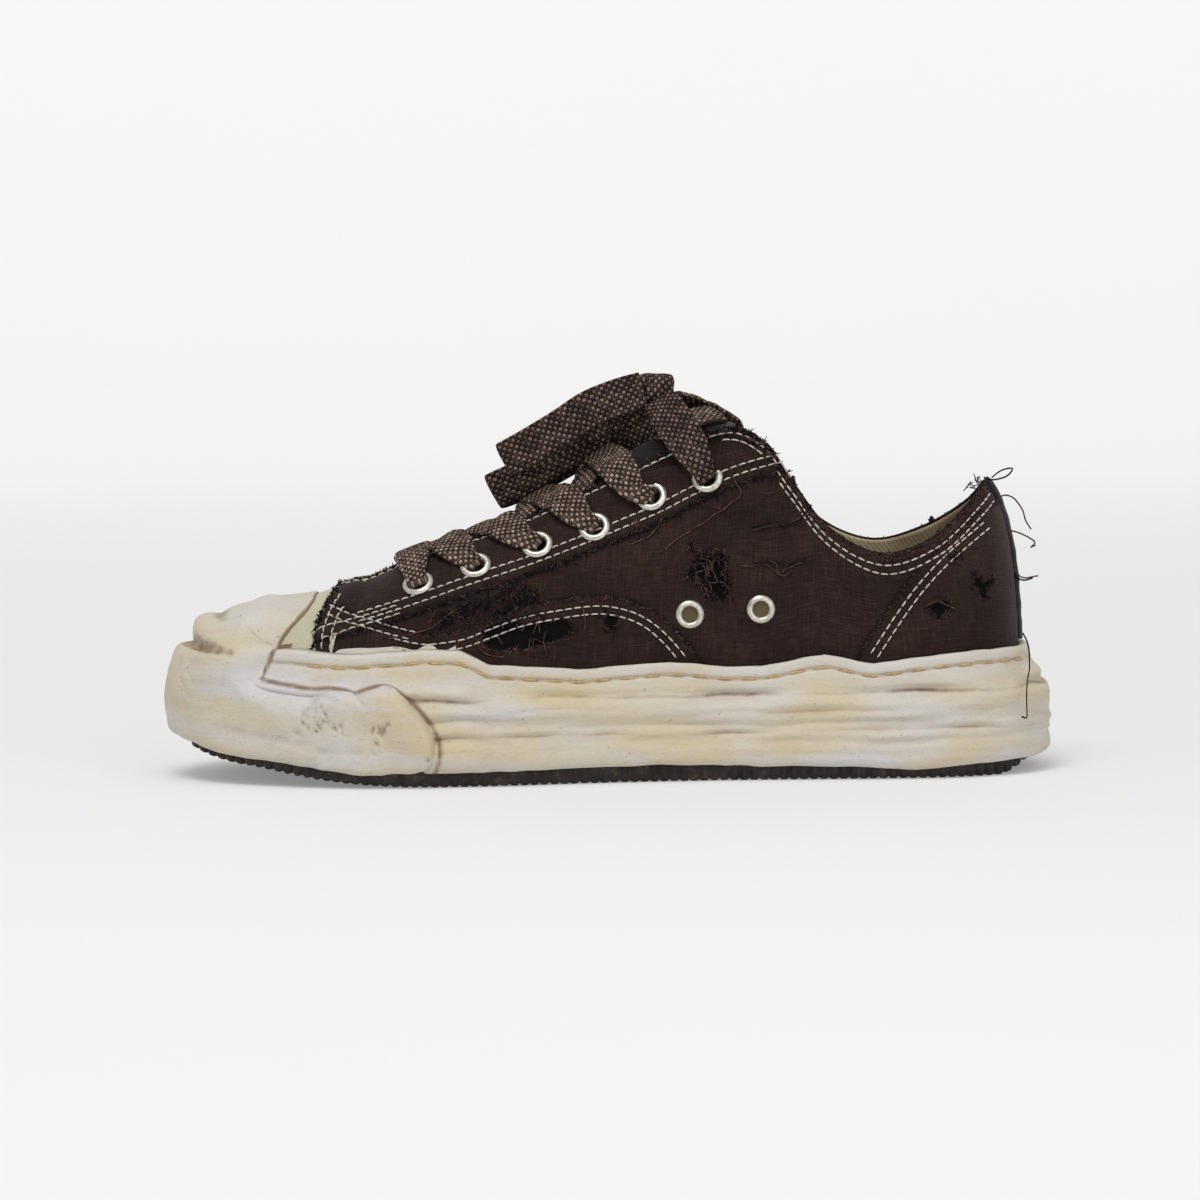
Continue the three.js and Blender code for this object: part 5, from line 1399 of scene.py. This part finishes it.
# ---------- holes and loose threads ----------
# Torn weave on the medial side: yarn ends round each hole and across it, a pulled thread with
# a knot, loose threads on the stay, and long threads hanging from the heel seam.
ragged, whiskers = [], []
for outline, pull, count in ((OVAL_HOLE, 2.4, 0.45), (STAR_TEAR, 3.2, 0.26)):
    ring = edge_path(list(outline) + [outline[0]], False, 0.05)
    ragged += fringe([ring], count, (1.0, pull), 0.6, (-0.5, 0.5), 0.25)
    whiskers += fringe([ring], count * 1.8, (1.0, pull * 1.2), 0.7, (-0.5, 0.5), 0.3)
for outline in SMALL_TEARS:
    ring = edge_path(outline + [outline[0]], False, 0.1)
    ragged += fringe([ring], 0.4, (1.0, 2.6), 0.8, (-0.6, 0.6), 0.35)
    whiskers += fringe([ring], 0.8, (1.0, 2.4), 0.8, (-0.6, 0.6), 0.3)


def on_cloth(points, lift=0.35):
    """A loose thread lying on the medial side along points seen from the side."""
    return edge_path(points, False, lift)[:, :3]


def lying(points, lift=0.35, jitter=0.35, seed=0):
    line = on_cloth(points, lift)
    wobble = np.stack([ripple(line, 3.5, seed), 0 * line[:, 0], ripple(line, 3.0, seed + 1)], axis=1)
    return line + wobble * jitter, np.ones(len(line))


brown_long = [
    lying([(43.5, 105), (46.5, 99), (42, 95), (36, 91), (30, 87), (24, 83.5), (18, 79)], seed=1),
    lying([(17.5, 96), (19, 92), (17.5, 88), (14, 84.5), (8, 82)], seed=2),
    lying([(-76, 50.5), (-68, 52), (-60, 55), (-54, 59.5), (-48, 63)], seed=3),
    lying([(45.8, 74.4), (50, 74), (54, 75), (57, 73.2), (60, 71.6), (63, 73.4), (67.5, 75)], jitter=0.5, seed=4),
    lying([(56, 75.6), (58.6, 74.6), (59, 71.4), (61.6, 70.6), (64, 72.6)], 0.8, 0.3, 5),
    lying([(51, 86.5), (57, 88), (63, 88.6), (68, 91), (70.5, 95)], 0.5, 0.4, 6),
    lying([(-45.5, 49), (-44, 46), (-40, 44.5), (-36.5, 44)], 0.5, 0.3, 7),
    lying([(-8.8, 60), (-8.2, 55.5), (-8.6, 52)], 0.5, 0.2, 8),
    lying([(109.5, 59), (114, 60.5), (120.5, 58.5)], 0.6, 0.5, 9),
]
black_long = [
    lying([(51, 74.8), (57, 75.4), (62, 74.2), (66.5, 75.4), (69, 76.4)], 0.6, 0.5, 11),
    lying([(50, 87.4), (56, 88.6), (62, 88), (67, 90), (71, 95.5)], 0.7, 0.4, 12),
    lying([(-31.5, 54.8), (-29.5, 57.4), (-25.5, 58.6), (-22, 57)], 0.7, 0.3, 13),
]
for spot, count in (((34, 71), 26), ((-28, 51.2), 10)):
    for _ in range(count):
        x = spot[0] + chance.gauss(0, 3.4)
        z = spot[1] + chance.gauss(0, 4.5 if spot[0] > 0 else 2.0)
        reach = (chance.gauss(0, 2.0), chance.gauss(0, 4.5 if spot[0] > 0 else 3.0))
        mid = (x + reach[0] / 2 + chance.gauss(0, 0.8), z + reach[1] / 2 + chance.gauss(0, 0.8))
        whiskers.append(lying([(x, z), mid, (x + reach[0], z + reach[1])], 0.3, 0.4, chance.randint(20, 60)))


def hanging(points, seed):
    line = smooth_line(points, 0.7)
    wobble = np.stack([ripple(line, 6, seed), ripple(line, 6, seed + 1), ripple(line, 6, seed + 2)], axis=1)
    return line + 0.5 * wobble, np.ones(len(line))


def beside_heel(x, out, z):
    """The point of the wall's medial outline at x, behind the heel."""
    spots = outline_point(np.linspace(0.1, 2.5, 97), out, z)
    return spots[np.argmin(np.abs(spots[:, 0] - x))]


brown_long += [
    hanging([(135.5, -2, 92), (139, -3, 95.5), (143, -4, 95), (146, -3, 91.5), (147.5, -2, 87), (149.5, -2, 83.5)], 71),
    hanging([(138.5, -2, 84), (142, -4, 84), (146.5, -5, 82), (150.5, -5, 79.5), (149, -5, 77.8), (150.8, -4, 78.4)], 74),
    hanging([(141.5, -1, 72), (144.5, -2, 68), (147.5, -3, 66.4), (152, -2, 67.4)], 77),
]
black_long += [
    hanging([(133, -2, 102.5), (136.5, -3, 101.5), (141, -3, 102.6), (143, -3, 105.4), (139.5, -2, 104.6), (136, -1, 102)], 81),
    hanging([(140.5, -1, 73), (144, -2.5, 67.5), (147, -3, 65.6), (150, -3, 66.4)], 84),
    hanging([beside_heel(x, out, z) for x, out, z in (
        (145.4, 4.4, 48.5), (146.6, 5.8, 45), (146.8, 9, 41), (146.4, 12.8, 37), (146.0, 14.6, 33), (145.6, 14.0, 28),
        (145.4, 13.8, 22.5), (144.6, 13.8, 20), (142.8, 13.8, 20.3))], 87),
]
for k in range(26):
    base = (131 + chance.gauss(0, 2.2), chance.gauss(0, 3.5), 101 - abs(chance.gauss(0, 2.0)))
    way = (chance.gauss(0.1, 0.7), chance.gauss(0, 0.5), chance.uniform(0.4, 1.4))
    (ragged if k % 2 else whiskers).append(yarn_end(base, way, chance.uniform(1.2, 3.6), 0.5, 0.6))
black_threads = threads("loose_threads_black", ragged + [(line, girth * 1.25) for line, girth in black_long], 0.24, rounds=0)
black_yarn.put_on(black_threads)
brown_threads = threads("loose_threads_brown", whiskers + [(line, girth * 1.25) for line, girth in brown_long], 0.22, rounds=0)
brown_yarn.put_on(brown_threads)

# ---------- heel seam ----------
# A narrow folded strip of black and brown cloth is sewn over the seam at the back of the heel.
height = np.linspace(0, 1, 70)
low_share = float(share_at_height(0.0, 45.0))
across = np.linspace(-1, 1, 13)
share, wide = np.meshgrid(low_share + height * (0.995 - low_share), across, indexing="ij")
strip_station = wide * (0.115 + 0.02 * np.sin(9 * share))
bulge = 0.5 + 1.3 * (1 - wide**2) + 0.25 * ripple(last_point(strip_station, share), 3.0, 61)
face = over_last(strip_station, share, bulge)
back = over_last(strip_station, share, -0.2 + 0 * bulge)
rows = np.concatenate([face.transpose(1, 0, 2), back.transpose(1, 0, 2)[::-1], face.transpose(1, 0, 2)[:1]])
strip = skin("heel_seam_strip", rows, wrap_rows=True, cloth=np.stack(np.broadcast_arrays(np.arange(rows.shape[0])[:, None] * 1.0, np.arange(70)[None] * 0.8), -1))
strip_finish = Finish("seam_strip_cloth", roughness=0.95, Sheen_Weight=0.2)
shade, relief = heathered(strip_finish, "0c0b0c", "191516", "3a2c29")
strip_finish.set("Base Color", shade)
strip_finish.set("Normal", relief)
strip_finish.put_on(strip)

# ---------- floor and light ----------
# A pale paper sweep under and behind the shoe, and two large soft lights.
bm = bmesh.new()
bmesh.ops.create_grid(bm, x_segments=2, y_segments=24, size=4)
for vert in bm.verts:
    over = max(0.0, vert.co.y - 2.2)
    vert.co.z = over * over * 0.9
sweep = piece_of("floor", bm)
paper = Finish("pale_paper", roughness=1.0, Specular_IOR_Level=0.0)
paper.shader.inputs["Emission Strength"].default_value = 1.0
depth = paper.node("SeparateXYZ", {0: paper.place()}).outputs[1]
far = paper.node("MapRange", {0: depth, 1: -1.2, 2: 3.2, 3: 0.0, 4: 1.0}).outputs[0]
paper.set("Base Color", paper.ramp(paper.grain(paper.place(), 1.5), [(0.3, 0.62), (0.7, 0.63)]))
paper.set("Emission Color", paper.ramp(far, [(0.0, 0.20), (0.3, 0.23), (0.7, 0.45), (1.0, 0.53)]))
paper.put_on(sweep)

world = bpy.data.worlds.new("studio")
scene.world = world
world.use_nodes = True
world.node_tree.nodes["Background"].inputs["Color"].default_value = (1, 1, 1, 1)
world.node_tree.nodes["Background"].inputs["Strength"].default_value = 0.52


def soft_light(name, spot, size, power):
    data = bpy.data.lights.new(name, "AREA")
    data.shape = "DISK"
    data.size = size
    data.energy = power
    light = bpy.data.objects.new(name, data)
    light.location = spot
    aim = Vector((0, 0, 0.05)) - Vector(spot)
    light.rotation_euler = aim.to_track_quat("-Z", "Y").to_euler()
    scene.collection.objects.link(light)


soft_light("key", (-0.35, -0.9, 1.9), 1.1, 20)
soft_light("fill", (0.8, -1.6, 0.8), 1.4, 6)
